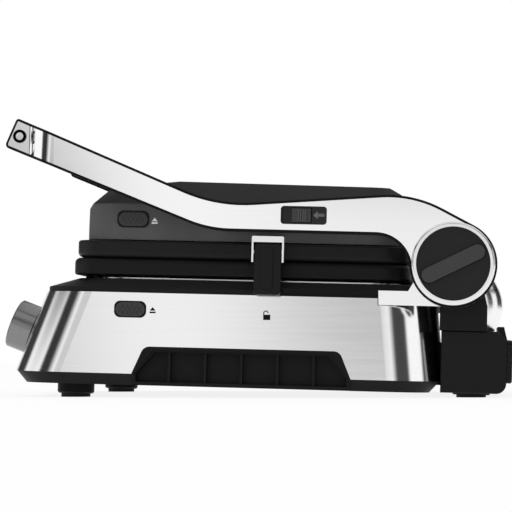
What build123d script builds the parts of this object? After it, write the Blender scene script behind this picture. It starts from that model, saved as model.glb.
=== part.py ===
from build123d import *
import os
from math import atan2, cos, degrees, radians, sin

# Contact grill. Millimetres. While it is modelled, y runs to the rear from the hinge line,
# z runs up from the flat underside of the base pan and x runs to the side of the hinge knob.

# Machine layout
DRAIN_TILT = 1.48
HINGE_Z = 100.6
FIT = 0.05
GAP = 0.4
SKIN = 1.2
WALL = 3.0
SOFT_EDGE = 1.0

# Cooking plates, which the widths and depths of the rest follow
PLATE_HALF_X = 157.0
PLATE_FRONT_Y = -302.6
PLATE_REAR_Y = -34.0
PLATE_MID_Y = (PLATE_FRONT_Y + PLATE_REAR_Y) / 2
PLATE_R = 24.0
PLATE_T = 13.6
PLATE_RIM = 9.0
PLATE_RECESS = 5.0
PLATE_POCKET = 3.4
PLATE_SEAM_FILLET = 4.2
PLATE_EDGE_FILLET = 2.0
UPPER_PLATE_FRONT_Y = PLATE_FRONT_Y + 2.4
RIDGE_COUNT = 15
RIDGE_W = 4.0
RIDGE_H = 4.6
RIDGE_END_GAP = 8.0
SPOUT_W = 30.0
SPOUT_REACH = 8.0

# Base tub outline, low and high
BASE_LOW_Z = 9.1
BASE_TOP_Z = 73.0
BASE_TOP_HALF_X = PLATE_HALF_X + 8.0
BASE_LOW_HALF_X = BASE_TOP_HALF_X + 3.0
BASE_TOP_FRONT_Y = PLATE_FRONT_Y - 23.2
BASE_LOW_FRONT_Y = BASE_TOP_FRONT_Y - 23.3
BASE_LOW_REAR_Y = -8.4
BASE_TOP_REAR_Y = -15.1
BASE_CORNER_R = 42.0
PAN_CHAMFER = 9.0
PAN_FLOOR = 3.0

# Side carry recesses with their vent grilles
VENT_FRONT_Y = PLATE_MID_Y - 81.3
VENT_REAR_Y = PLATE_MID_Y + 89.5
VENT_RAMP = 15.0
VENT_TOP_Z = 29.0
VENT_DEPTH = 10.0
VENT_BARS = 5
VENT_BAR_T = 2.2
VENT_FRAME = 2.4
VENT_BACK = 3.0

# Deck and heater pan
DECK_INSET = 1.6
DECK_BAND_H = 4.0
DECK_TOP_Z = 84.2
DECK_TOP_HALF_X = PLATE_HALF_X
DECK_TOP_FRONT_Y = PLATE_FRONT_Y + 3.6
DECK_TOP_REAR_Y = PLATE_REAR_Y + 12.0
DECK_TOP_R = 30.0
DECK_EDGE_R = 1.6
WELL_HALF_X = PLATE_HALF_X - 19.0
WELL_FRONT_Y = PLATE_FRONT_Y + 27.0
WELL_REAR_Y = PLATE_REAR_Y - 14.0
WELL_R = 20.0
WELL_DEPTH = 22.0
WELL_FLANGE = 6.0
DRAIN_HALF_X = 24.0
DRAIN_FRONT_Y = PLATE_REAR_Y - 1.0
DRAIN_REAR_Y = DRAIN_FRONT_Y + 11.0

# Heating elements
ELEMENT_R = 3.3
ELEMENT_PASSES = 4
ELEMENT_BEND_R = 14.0
ELEMENT_MARGIN = 22.0

# Lid housing
LID_BOTTOM_Z = 115.2
LID_SIDE_TOP_Z = 143.6
LID_HALF_X = PLATE_HALF_X - 3.0
LID_TOP_INSET_X = 20.0
LID_TOP_INSET_FRONT = 18.0
LID_TOP_INSET_REAR = 4.0
LID_TOP_R_GROWTH = 4.0
LID_FRONT_Y = PLATE_FRONT_Y + 9.8
LID_FRONT_SLOPE = 1.2
LID_BROW = 3.5
LID_R = 26.0
LID_SHOULDER_Y = LID_FRONT_Y + 17.4
LID_SHOULDER_Z = 157.1
LID_CREST_Y = LID_FRONT_Y + 73.1
LID_CREST_Z = 163.4
LID_REAR_Y = PLATE_REAR_Y - 2.0
LID_REAR_TOP_Y = LID_REAR_Y - 6.1
LID_REAR_TOP_Z = 156.1
LID_BACK_Y = LID_REAR_Y - 16.1
LID_BACK_Z = 161.5
LID_EDGE_R = 2.4
LID_WALL = 2.6
LINER_T = 1.6
LINER_DOME_H = 11.0
LINER_INSET = LID_WALL + GAP

# Arms, given in the side view from the hinge line
ARM_IN_X = BASE_LOW_HALF_X + 2.6
ARM_CORE_T = 8.0
ARM_CORE_OUT_X = ARM_IN_X + ARM_CORE_T
ARM_SKIN_T = 1.4
ARM_BORDER = 2.0
JOG_START_Y = PLATE_FRONT_Y - 12.4
JOG_TURN = 62.0
JOG_R = 21.0
JOG_RETURN_R = 5.0
HUB_R = 34.0
TIP_TOP = (PLATE_FRONT_Y - 45.0, 108.6)
TIP_LOW = (TIP_TOP[0] - 9.5, 85.6)
TOP_ELBOW = (PLATE_MID_Y - 16.2, 42.2)
TOP_ELBOW_R = 120.0
TOP_CREST = (-32.0, 54.4)
TOP_CREST_R = 90.0
LOW_ELBOW = (PLATE_MID_Y - 23.1, 21.9)
LOW_ELBOW_R = 95.0
LOW_NECK = (-33.6, 21.4)
LOW_NECK_R = 27.0
HUB_TANGENT = (15.4, 30.3)

# Handle grip between the arm tips
GRIP_T = 13.0
GRIP_H = 21.0
GRIP_R = 5.5
GRIP_FROM_TIP = 8.2
SCREW_HEAD_R = 4.6
SCREW_HEAD_H = 2.6
SCREW_SINK = 1.4
SCREW_HEX = 2.4

# Hinge, towers and brackets
SHAFT_R = 8.0
SHAFT_IN_ARM = 4.0
TOWER_T = 18.0
TOWER_OUT_X = PLATE_HALF_X - 1.0
TOWER_IN_X = TOWER_OUT_X - TOWER_T
TOWER_FRONT_Y = -9.8
TOWER_REAR_Y = 27.2
TOWER_EYE_R = 20.0
BRACKET_IN_X = BASE_LOW_HALF_X + 0.2
BRACKET_OUT_X = BRACKET_IN_X + 2.0
BRACKET_EDGE_R = 4.0
KNOB_RING_R = 32.3
KNOB_FACE_R = 28.6
KNOB_RING_H = 11.0
KNOB_FACE_DROP = 2.6
KNOB_BAR_PROUD = 0.6
KNOB_BAR_W = 13.0
KNOB_BAR_ANGLE = 27.0
KNOB_SPINDLE_R = 6.0

# Lid pivots
PIVOT_Y = PLATE_MID_Y + 0.3
PIVOT_Z = 134.4
PIVOT_R = 5.0
PIVOT_BOSS_R = 9.0
PIVOT_BOSS_GAP = 0.4

# Slide switch in the knob-side arm
SLOT_REAR_Y = -98.9
SLOT_L = 36.0
SLOT_Z = 135.9
SLOT_H = 14.2
SLOT_R = 2.6
SLOT_DEPTH = 6.0
BEZEL_T = 1.0
SLIDER_L = 15.7
SLIDER_FROM_REAR = 12.0

# Latch on the knob side
LATCH_Y = PIVOT_Y + 23.4
CHEEK_W = 25.2
CHEEK_T = 1.4
CHEEK_TOP_Z = 119.2
CHEEK_WEB = 4.7
CHEEK_TIP_Z = 98.8
CHEEK_OUT_X = ARM_CORE_OUT_X - 2.0
CHEEK_EDGE_R = 1.2
LEVER_IN_X = BASE_LOW_HALF_X + 0.4
LEVER_OUT_X = LEVER_IN_X + 8.8
LEVER_TOP_Z = 113.6
LEVER_LOW_Z = 73.3
LEVER_SIDE_GAP = 0.35
LATCH_PIN_R = 2.0
LATCH_PIN_X = LEVER_IN_X + 4.2
LATCH_PIN_Z = 107.0
RIB_W = 8.4

# Release buttons
BUTTON_L = 23.4
BUTTON_H = 11.2
BUTTON_PROUD = 1.3
BUTTON_STEM = 7.0
BUTTON_GAP = 0.35
BASE_BUTTON_Y = PLATE_FRONT_Y + 49.7
BASE_BUTTON_Z = 59.8
LID_BUTTON_Y = BASE_BUTTON_Y - 1.0
LID_BUTTON_Z = 131.4
KNURL_PITCH = 3.1
KNURL_DEPTH = 0.5

# Front controls
FRONT_KNOB_X = BASE_LOW_HALF_X - 70.0
FRONT_KNOB_Z = 40.5
FRONT_KNOB_R = 19.9
FRONT_KNOB_L = 18.0
COLLAR_R = 21.7
COLLAR_T = 2.4
FRONT_SHAFT_R = 3.0
DISPLAY_W = 84.0
DISPLAY_H = 30.0
DISPLAY_T = 1.8
DISPLAY_RIM = 2.4

# Rear housing and drip tray
HOUSING_HALF_X = PLATE_HALF_X - 7.0
HOUSING_FRONT_Y = -8.4
HOUSING_REAR_Y = 43.2
HOUSING_LOW_Z = 0.6
HOUSING_TOP_Z = 49.4
HOUSING_CHAMFER = 7.0
HOUSING_R = 8.0
TRAY_HALF_X = HOUSING_HALF_X - 32.0
TRAY_FRONT_Y = -60.0
TRAY_LOW_Z = 6.0
TRAY_TOP_Z = 40.0
TRAY_T = 1.8
TRAY_GAP = 0.8
TRAY_PANEL_T = 4.2
TRAY_PANEL_HALF_X = HOUSING_HALF_X - 2.0
TRAY_PANEL_LOW_Z = 9.0
TRAY_PANEL_TOP_Z = 43.0
LIP_HALF_X = 58.0
LIP_TOP_Z = 54.2
LIP_FRONT_Y = 36.8
LIP_REAR_Y = 41.9
BARREL_R = 33.6
BARREL_Y = 6.0
BARREL_Z = 69.6
BARREL_HALF_X = TOWER_IN_X - 6.0
BARREL_SHOULDER = 14.0
GLAND_R = 8.0
GLAND_L = 12.0
GLAND_BORE_R = 3.6
GLAND_Y = 18.0
GLAND_Z = 26.0

# Feet
FRONT_FOOT_Y = PLATE_FRONT_Y + 2.8
FRONT_FOOT_X = HOUSING_HALF_X - 20.0
FOOT_R = 14.7
FRONT_FOOT_H = 8.0
FRONT_PAD_H = 2.9
REAR_FOOT_Y = 16.0
REAR_FOOT_X = HOUSING_HALF_X - 20.0
REAR_FOOT_H = 1.4
REAR_PAD_H = 1.5
PAD_R = 11.7
PAD_SEAT = 2.0


def slab(half_x, front_y, rear_y, corner_r, low_z, high_z):
    with BuildPart() as piece:
        with BuildSketch(Plane.XY.offset(low_z)):
            with Locations((0, (front_y + rear_y) / 2)):
                RectangleRounded(2 * half_x, rear_y - front_y, corner_r)
        extrude(amount=high_z - low_z)
    return piece.part


def drafted(low, high):
    with BuildPart() as piece:
        for half_x, front_y, rear_y, corner_r, level in (low, high):
            with BuildSketch(Plane.XY.offset(level)):
                with Locations((0, (front_y + rear_y) / 2)):
                    RectangleRounded(2 * half_x, rear_y - front_y, corner_r)
        loft()
    return piece.part


def tub_outline(level, inset):
    share = (level - BASE_LOW_Z) / (BASE_TOP_Z - BASE_LOW_Z)
    half_x = BASE_LOW_HALF_X + share * (BASE_TOP_HALF_X - BASE_LOW_HALF_X)
    front_y = BASE_LOW_FRONT_Y + share * (BASE_TOP_FRONT_Y - BASE_LOW_FRONT_Y)
    rear_y = BASE_LOW_REAR_Y + share * (BASE_TOP_REAR_Y - BASE_LOW_REAR_Y)
    return (half_x - inset, front_y + inset, rear_y - inset, BASE_CORNER_R - inset, level)


def shrunk(outline, inset):
    half_x, front_y, rear_y, corner_r, level = outline
    return (half_x - inset, front_y + inset, rear_y - inset, corner_r - inset, level)


def side_wedge(points, low_x, high_x):
    with BuildPart() as piece:
        with BuildSketch(Plane.YZ.offset(low_x)):
            with BuildLine():
                Polyline(*points, close=True)
            make_face()
        extrude(amount=high_x - low_x)
    return piece.part


def side_disc(radius, y, z, low_x, high_x):
    with BuildPart() as piece:
        with BuildSketch(Plane.YZ.offset(low_x)):
            with Locations((y, z)):
                Circle(radius)
        extrude(amount=high_x - low_x)
    return piece.part


def side_slot(length, height, radius, y, z, low_x, high_x):
    with BuildPart() as piece:
        with BuildSketch(Plane.YZ.offset(low_x)):
            with Locations((y, z)):
                RectangleRounded(length, height, radius)
        extrude(amount=high_x - low_x)
    return piece.part


def block(low, high):
    with BuildPart() as piece:
        with Locations(Vector(*low)):
            Box(high[0] - low[0], high[1] - low[1], high[2] - low[2],
                align=(Align.MIN, Align.MIN, Align.MIN))
    return piece.part


# Front plane of the leaning tub, for everything that stands on it
FRONT_LEAN = degrees(atan2(BASE_TOP_FRONT_Y - BASE_LOW_FRONT_Y, BASE_TOP_Z - BASE_LOW_Z))
FRONT_PLANE_Y = BASE_LOW_FRONT_Y + (FRONT_KNOB_Z - BASE_LOW_Z) * (
    BASE_TOP_FRONT_Y - BASE_LOW_FRONT_Y) / (BASE_TOP_Z - BASE_LOW_Z)
FRONT_NORMAL = (0, -cos(radians(FRONT_LEAN)), sin(radians(FRONT_LEAN)))
FRONT_PLANE = Plane(origin=(0, FRONT_PLANE_Y, FRONT_KNOB_Z), x_dir=(1, 0, 0), z_dir=FRONT_NORMAL)


# Base pan: floor, chamfered rim and foot seats
def vent_points(grow, low_z):
    return [
        (VENT_FRONT_Y - grow, low_z),
        (VENT_FRONT_Y - grow, BASE_LOW_Z),
        (VENT_FRONT_Y + VENT_RAMP - grow, VENT_TOP_Z + grow),
        (VENT_REAR_Y - VENT_RAMP + grow, VENT_TOP_Z + grow),
        (VENT_REAR_Y + grow, BASE_LOW_Z),
        (VENT_REAR_Y + grow, low_z),
    ]


VENT_IN_X = BASE_LOW_HALF_X - VENT_DEPTH - VENT_BACK
vent_pocket = side_wedge(vent_points(0, -5), VENT_IN_X, BASE_LOW_HALF_X + 10)
vent_pocket_far = mirror(vent_pocket, about=Plane.YZ)

tray_mouth = block((-TRAY_HALF_X - TRAY_GAP, BASE_TOP_REAR_Y - 12, PAN_FLOOR),
                   (TRAY_HALF_X + TRAY_GAP, HOUSING_FRONT_Y + 1, TRAY_TOP_Z + TRAY_GAP))
pan_low = tub_outline(BASE_LOW_Z, PAN_CHAMFER)[:4] + (0,)
pan_top = tub_outline(BASE_LOW_Z, SKIN)
with BuildPart() as pan_cavity:
    add(drafted(shrunk(pan_low, WALL), shrunk(pan_top, WALL)))
    split(bisect_by=Plane.XY.offset(PAN_FLOOR), keep=Keep.TOP)
with BuildPart() as bottom_pan:
    add(drafted(pan_low, pan_top))
    add(pan_cavity.part, mode=Mode.SUBTRACT)
    add(vent_pocket, mode=Mode.SUBTRACT)
    add(vent_pocket_far, mode=Mode.SUBTRACT)
    add(tray_mouth, mode=Mode.SUBTRACT)
    with BuildSketch(Plane.XY):
        with Locations((0, -170)):
            with GridLocations(16, 60, 9, 2):
                SlotOverall(44, 5, rotation=90)
    extrude(amount=PAN_FLOOR, mode=Mode.SUBTRACT)

# Inner tub: black walls behind the metal wrap
tub_inner = drafted(tub_outline(BASE_LOW_Z, SKIN + WALL), tub_outline(BASE_TOP_Z, SKIN + WALL))
base_button_hole = side_slot(BUTTON_L + 2 * BUTTON_GAP, BUTTON_H + 2 * BUTTON_GAP,
                             BUTTON_H / 2 + BUTTON_GAP - 0.01, BASE_BUTTON_Y, BASE_BUTTON_Z,
                             BASE_TOP_HALF_X - 15, BASE_LOW_HALF_X + 5)
with BuildPart() as base_housing:
    add(drafted(tub_outline(BASE_LOW_Z, SKIN), tub_outline(BASE_TOP_Z, SKIN)))
    add(tub_inner, mode=Mode.SUBTRACT)
    add(vent_pocket, mode=Mode.SUBTRACT)
    add(vent_pocket_far, mode=Mode.SUBTRACT)
    add(tray_mouth, mode=Mode.SUBTRACT)
    add(base_button_hole, mode=Mode.SUBTRACT)
    with BuildSketch(FRONT_PLANE.offset(-10)):
        with Locations((-FRONT_KNOB_X, 0), (FRONT_KNOB_X, 0)):
            Circle(FRONT_SHAFT_R + FIT)
    extrude(amount=20, mode=Mode.SUBTRACT)

# Metal wrap round the front, both sides and the rear corners
WRAP_REAR_HALF_X = BASE_LOW_HALF_X - BASE_CORNER_R
with BuildPart() as steel_wrap:
    add(drafted(tub_outline(BASE_LOW_Z, 0), tub_outline(BASE_TOP_Z, 0)))
    add(drafted(tub_outline(BASE_LOW_Z, SKIN), tub_outline(BASE_TOP_Z, SKIN)), mode=Mode.SUBTRACT)
    add(vent_pocket, mode=Mode.SUBTRACT)
    add(vent_pocket_far, mode=Mode.SUBTRACT)
    add(base_button_hole, mode=Mode.SUBTRACT)
    add(block((-WRAP_REAR_HALF_X, BASE_TOP_REAR_Y - 10, 0), (WRAP_REAR_HALF_X, 5, BASE_TOP_Z + 5)),
        mode=Mode.SUBTRACT)
    with BuildSketch(FRONT_PLANE.offset(-5)):
        with Locations((-FRONT_KNOB_X, 0), (FRONT_KNOB_X, 0)):
            Circle(FRONT_SHAFT_R + 1)
        RectangleRounded(DISPLAY_W - 8, DISPLAY_H - 8, 3)
    extrude(amount=10, mode=Mode.SUBTRACT)

# Vent grilles: framed trapezoid with upright bars over a back wall
GRILLE_OUT_X = BASE_LOW_HALF_X - 2.0
with BuildPart() as vent_grille_r:
    add(side_wedge(vent_points(-FIT, 0.6), VENT_IN_X, GRILLE_OUT_X))
    add(side_wedge(vent_points(-VENT_FRAME, 0.6 + VENT_FRAME), VENT_IN_X + VENT_BACK,
                   GRILLE_OUT_X + 1), mode=Mode.SUBTRACT)
    with BuildSketch(Plane.XY.offset(0.6)):
        with Locations((VENT_IN_X + (GRILLE_OUT_X - VENT_IN_X - 1.5) / 2, (VENT_FRONT_Y + VENT_REAR_Y) / 2)):
            with GridLocations(1, (VENT_REAR_Y - VENT_FRONT_Y) / (VENT_BARS + 1), 1, VENT_BARS):
                Rectangle(GRILLE_OUT_X - VENT_IN_X - 1.5, VENT_BAR_T)
    extrude(amount=VENT_TOP_Z - 0.6 - VENT_FRAME / 2)
vent_grille_l = mirror(vent_grille_r.part, about=Plane.YZ)

# Deck: black rim that carries the plates and closes the tub
deck_low = tub_outline(BASE_TOP_Z, DECK_INSET)
deck_mid = deck_low[:4] + (BASE_TOP_Z + DECK_BAND_H,)
deck_top = (DECK_TOP_HALF_X, DECK_TOP_FRONT_Y, DECK_TOP_REAR_Y, DECK_TOP_R, DECK_TOP_Z)
with BuildPart() as deck:
    add(slab(deck_low[0], deck_low[1], deck_low[2], deck_low[3], BASE_TOP_Z, deck_mid[4]))
    add(drafted(deck_mid, deck_top))
    fillet(deck.faces().sort_by(Axis.Z)[-1].edges(), DECK_EDGE_R)
    add(slab(deck_low[0] - WALL, deck_low[1] + WALL, deck_low[2] - WALL, deck_low[3] - WALL,
             BASE_TOP_Z - 1, deck_mid[4] - 1), mode=Mode.SUBTRACT)
    add(slab(WELL_HALF_X, WELL_FRONT_Y, WELL_REAR_Y, WELL_R, BASE_TOP_Z, DECK_TOP_Z + 1), mode=Mode.SUBTRACT)
    add(block((-DRAIN_HALF_X, DRAIN_FRONT_Y, BASE_TOP_Z), (DRAIN_HALF_X, DRAIN_REAR_Y, DECK_TOP_Z + 1)),
        mode=Mode.SUBTRACT)

# Heater pan: pressed basin hung in the deck by its flange
ELEMENT_Z = HINGE_Z - GAP / 2 - PLATE_T - ELEMENT_R - 0.3
with BuildPart() as heater_pan:
    add(slab(WELL_HALF_X, WELL_FRONT_Y, WELL_REAR_Y, WELL_R, DECK_TOP_Z - WELL_DEPTH, DECK_TOP_Z + 1.2))
    add(slab(WELL_HALF_X + WELL_FLANGE, WELL_FRONT_Y - WELL_FLANGE, WELL_REAR_Y + WELL_FLANGE,
             WELL_R + WELL_FLANGE, DECK_TOP_Z, DECK_TOP_Z + 1.2))
    add(slab(WELL_HALF_X - SKIN, WELL_FRONT_Y + SKIN, WELL_REAR_Y - SKIN, WELL_R - SKIN,
             DECK_TOP_Z - WELL_DEPTH + SKIN, DECK_TOP_Z + 2), mode=Mode.SUBTRACT)


# Heating element: tube in parallel passes, its ends met by the pan's rear wall
def element_path(level, wall):
    half = WELL_HALF_X - ELEMENT_MARGIN
    front = WELL_FRONT_Y + ELEMENT_MARGIN
    rear = WELL_REAR_Y - ELEMENT_MARGIN
    step = 2 * half / ELEMENT_PASSES / 2
    points = [(-half, WELL_REAR_Y - wall)]
    x = -half
    for index in range(ELEMENT_PASSES * 2 - 1):
        points.append((x, front if index % 2 == 0 else rear))
        x = x + step
        points.append((x, front if index % 2 == 0 else rear))
    points.append((x, WELL_REAR_Y - wall))
    with BuildLine(Plane.XY.offset(level)) as path:
        FilletPolyline(*points, radius=min(ELEMENT_BEND_R, step / 2 - 0.5))
    return path.line


def element_tube(level, wall):
    path = element_path(level, wall)
    with BuildPart() as tube:
        with BuildSketch(Plane(origin=path @ 0, z_dir=path % 0)):
            Circle(ELEMENT_R)
        sweep(path=path)
    return tube.part


lower_element = element_tube(ELEMENT_Z, SKIN)


# Cooking plates: rimmed castings that meet at the hinge level
def plate_blank(front_y, low_z, seam_low):
    with BuildPart() as plate:
        add(slab(PLATE_HALF_X, front_y, PLATE_REAR_Y, PLATE_R, low_z, low_z + PLATE_T))
        ends = plate.faces().sort_by(Axis.Z)
        low_edges = ends[0].edges()
        high_edges = ends[-1].edges()
        fillet(low_edges, PLATE_SEAM_FILLET if seam_low else PLATE_EDGE_FILLET)
        fillet(high_edges, PLATE_EDGE_FILLET if seam_low else PLATE_SEAM_FILLET)
    return plate.part


LOWER_TOP_Z = HINGE_Z - GAP / 2
LOWER_LOW_Z = LOWER_TOP_Z - PLATE_T
UPPER_LOW_Z = HINGE_Z + GAP / 2
RIM_HALF_X = PLATE_HALF_X - PLATE_RIM
with BuildPart() as lower_plate:
    add(plate_blank(PLATE_FRONT_Y, LOWER_LOW_Z, False))
    add(slab(RIM_HALF_X, PLATE_FRONT_Y + PLATE_RIM, PLATE_REAR_Y - PLATE_RIM, PLATE_R - PLATE_RIM,
             LOWER_TOP_Z - PLATE_RECESS, LOWER_TOP_Z + 1), mode=Mode.SUBTRACT)
    add(slab(RIM_HALF_X, PLATE_FRONT_Y + PLATE_RIM, PLATE_REAR_Y - PLATE_RIM, PLATE_R - PLATE_RIM,
             LOWER_LOW_Z - 1, LOWER_LOW_Z + PLATE_POCKET), mode=Mode.SUBTRACT)
    add(block((-SPOUT_W / 2, PLATE_REAR_Y - 2, LOWER_TOP_Z - PLATE_RECESS - 3),
              (SPOUT_W / 2, PLATE_REAR_Y + SPOUT_REACH, LOWER_TOP_Z - 1)))
    add(block((-SPOUT_W / 2 + 3, PLATE_REAR_Y - PLATE_RIM - 1, LOWER_TOP_Z - PLATE_RECESS),
              (SPOUT_W / 2 - 3, PLATE_REAR_Y + SPOUT_REACH + 1, LOWER_TOP_Z + 1)), mode=Mode.SUBTRACT)

with BuildPart() as upper_plate:
    add(plate_blank(UPPER_PLATE_FRONT_Y, UPPER_LOW_Z, True))
    add(slab(RIM_HALF_X, UPPER_PLATE_FRONT_Y + PLATE_RIM, PLATE_REAR_Y - PLATE_RIM, PLATE_R - PLATE_RIM,
             UPPER_LOW_Z - 1, UPPER_LOW_Z + PLATE_RECESS + 1), mode=Mode.SUBTRACT)
    add(slab(RIM_HALF_X, UPPER_PLATE_FRONT_Y + PLATE_RIM, PLATE_REAR_Y - PLATE_RIM, PLATE_R - PLATE_RIM,
             UPPER_LOW_Z + PLATE_T - PLATE_POCKET, UPPER_LOW_Z + PLATE_T + 1), mode=Mode.SUBTRACT)
    with BuildSketch(Plane.XY.offset(UPPER_LOW_Z + PLATE_RECESS + 1)):
        with Locations((0, (UPPER_PLATE_FRONT_Y + PLATE_REAR_Y) / 2)):
            with GridLocations(2 * RIM_HALF_X / RIDGE_COUNT, 1, RIDGE_COUNT, 1):
                Rectangle(RIDGE_W, PLATE_REAR_Y - UPPER_PLATE_FRONT_Y - 2 * (PLATE_RIM + RIDGE_END_GAP))
    extrude(amount=-RIDGE_H, taper=12)

# Plate rests: two posts near the front edge
REST_Y = PLATE_FRONT_Y + 10.6
REST_D = 5.6
REST_HALF_X = PLATE_HALF_X - 37.0
rest_pair = {}
for side, name in ((1, "plate_rest_r"), (-1, "plate_rest_l")):
    with BuildPart() as rest:
        with BuildSketch(Plane.XY.offset(DECK_TOP_Z)):
            with Locations((side * REST_HALF_X, REST_Y)):
                RectangleRounded(16, REST_D, 1.5)
        extrude(amount=LOWER_LOW_Z - DECK_TOP_Z - 0.1)
    rest_pair[name] = rest.part

# Feet and rubber pads, the soles cut level with the table under the tilted base
LEVEL = Plane(origin=(0, FRONT_FOOT_Y, -FRONT_FOOT_H - FRONT_PAD_H), x_dir=(1, 0, 0),
              z_dir=(0, -sin(radians(DRAIN_TILT)), cos(radians(DRAIN_TILT))))


def foot(x, y, height, base_z):
    with BuildPart() as piece:
        with Locations((x, y, base_z)):
            Cylinder(FOOT_R, height, align=(Align.CENTER, Align.CENTER, Align.MAX))
        chamfer(piece.edges().sort_by(Axis.Z)[0], min(1.2, height / 3))
        with Locations((x, y, base_z - height)):
            Cylinder(PAD_R - 2, min(PAD_SEAT, height - 0.4), mode=Mode.SUBTRACT,
                     align=(Align.CENTER, Align.CENTER, Align.MIN))
    return piece.part


def pad(x, y, height, base_z, sole):
    with BuildPart() as piece:
        with Locations((x, y, base_z - height)):
            Cylinder(PAD_R - 2, min(PAD_SEAT, height - 0.4), align=(Align.CENTER, Align.CENTER, Align.MIN))
        with Locations((x, y, base_z - height)):
            Cylinder(PAD_R, sole + 1, align=(Align.CENTER, Align.CENTER, Align.MAX))
        split(bisect_by=LEVEL, keep=Keep.TOP)
    return piece.part


feet = {}
for side, tag in ((1, "r"), (-1, "l")):
    feet["front_foot_" + tag] = foot(side * FRONT_FOOT_X, FRONT_FOOT_Y, FRONT_FOOT_H, 0)
    feet["front_pad_" + tag] = pad(side * FRONT_FOOT_X, FRONT_FOOT_Y, FRONT_FOOT_H, 0, FRONT_PAD_H)
    feet["rear_foot_" + tag] = foot(side * REAR_FOOT_X, REAR_FOOT_Y, REAR_FOOT_H, HOUSING_LOW_Z)
    feet["rear_pad_" + tag] = pad(side * REAR_FOOT_X, REAR_FOOT_Y, REAR_FOOT_H, HOUSING_LOW_Z, REAR_PAD_H)

# Rear housing behind the tub, open to the rear for the drip tray
housing_points = [
    (HOUSING_FRONT_Y, HOUSING_LOW_Z),
    (HOUSING_REAR_Y, HOUSING_LOW_Z),
    (HOUSING_REAR_Y, HOUSING_TOP_Z - HOUSING_CHAMFER),
    (HOUSING_REAR_Y - HOUSING_CHAMFER, HOUSING_TOP_Z),
    (HOUSING_FRONT_Y, HOUSING_TOP_Z),
]
with BuildPart() as rear_housing:
    add(side_wedge(housing_points, -HOUSING_HALF_X, HOUSING_HALF_X))
    low_edge = rear_housing.edges().filter_by(Axis.X).sort_by_distance((0, HOUSING_REAR_Y, HOUSING_LOW_Z))[0]
    fillet(low_edge, HOUSING_R)
    fillet(rear_housing.faces().sort_by(Axis.X)[0].edges(), SOFT_EDGE)
    fillet(rear_housing.faces().sort_by(Axis.X)[-1].edges(), SOFT_EDGE)
    add(block((-TRAY_HALF_X - TRAY_GAP, HOUSING_FRONT_Y - 1, TRAY_LOW_Z - TRAY_GAP),
              (TRAY_HALF_X + TRAY_GAP, HOUSING_REAR_Y + 1, TRAY_TOP_Z + TRAY_GAP)), mode=Mode.SUBTRACT)
    add(block((-DRAIN_HALF_X, HOUSING_FRONT_Y - 1, TRAY_TOP_Z),
              (DRAIN_HALF_X, HOUSING_FRONT_Y + 8, HOUSING_TOP_Z + 1)), mode=Mode.SUBTRACT)

# Drip tray: open basin behind a full-width panel with a pull lip
with BuildPart() as drip_tray:
    add(block((-TRAY_HALF_X, TRAY_FRONT_Y, TRAY_LOW_Z), (TRAY_HALF_X, HOUSING_REAR_Y + 0.3, TRAY_TOP_Z)))
    fillet(drip_tray.edges().filter_by(Axis.Z), 6)
    add(slab(TRAY_HALF_X - TRAY_T, TRAY_FRONT_Y + TRAY_T, HOUSING_REAR_Y + 0.3 - TRAY_T, 4.5,
             TRAY_LOW_Z + TRAY_T, TRAY_TOP_Z + 1), mode=Mode.SUBTRACT)

PANEL_IN_Y = HOUSING_REAR_Y + 0.3
PANEL_OUT_Y = PANEL_IN_Y + TRAY_PANEL_T
with BuildPart() as tray_panel:
    add(block((-TRAY_PANEL_HALF_X, PANEL_IN_Y, TRAY_PANEL_LOW_Z),
              (TRAY_PANEL_HALF_X, PANEL_OUT_Y, TRAY_PANEL_TOP_Z)))
    fillet(tray_panel.edges().filter_by(Axis.Y), 4)
    fillet(tray_panel.faces().sort_by(Axis.Y)[-1].edges(), 1.8)
    with BuildSketch(Plane.YZ.offset(-LIP_HALF_X)):
        with BuildLine():
            Polyline((PANEL_IN_Y, TRAY_PANEL_TOP_Z - 6), (PANEL_IN_Y, TRAY_PANEL_TOP_Z + 0.5),
                     (LIP_FRONT_Y, HOUSING_TOP_Z + 0.8), (LIP_FRONT_Y, LIP_TOP_Z),
                     (LIP_REAR_Y, LIP_TOP_Z), (LIP_REAR_Y + 1.8, TRAY_PANEL_TOP_Z + 4),
                     (PANEL_OUT_Y - 1.2, TRAY_PANEL_TOP_Z - 6), close=True)
        make_face()
    extrude(amount=2 * LIP_HALF_X)

# Rear cover: rounded metal barrel on the housing
with BuildPart() as rear_cover:
    add(side_disc(BARREL_R, BARREL_Y, BARREL_Z, -BARREL_HALF_X, BARREL_HALF_X))
    fillet(rear_cover.edges().filter_by(GeomType.CIRCLE), BARREL_SHOULDER)
    add(block((-BARREL_HALF_X - 1, BARREL_Y - 60, 0), (BARREL_HALF_X + 1, BARREL_Y + 60, HOUSING_TOP_Z)),
        mode=Mode.SUBTRACT)
    add(block((-BARREL_HALF_X - 1, BARREL_Y - 60, 0),
              (BARREL_HALF_X + 1, HOUSING_FRONT_Y + GAP, DECK_TOP_Z + GAP)), mode=Mode.SUBTRACT)

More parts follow.
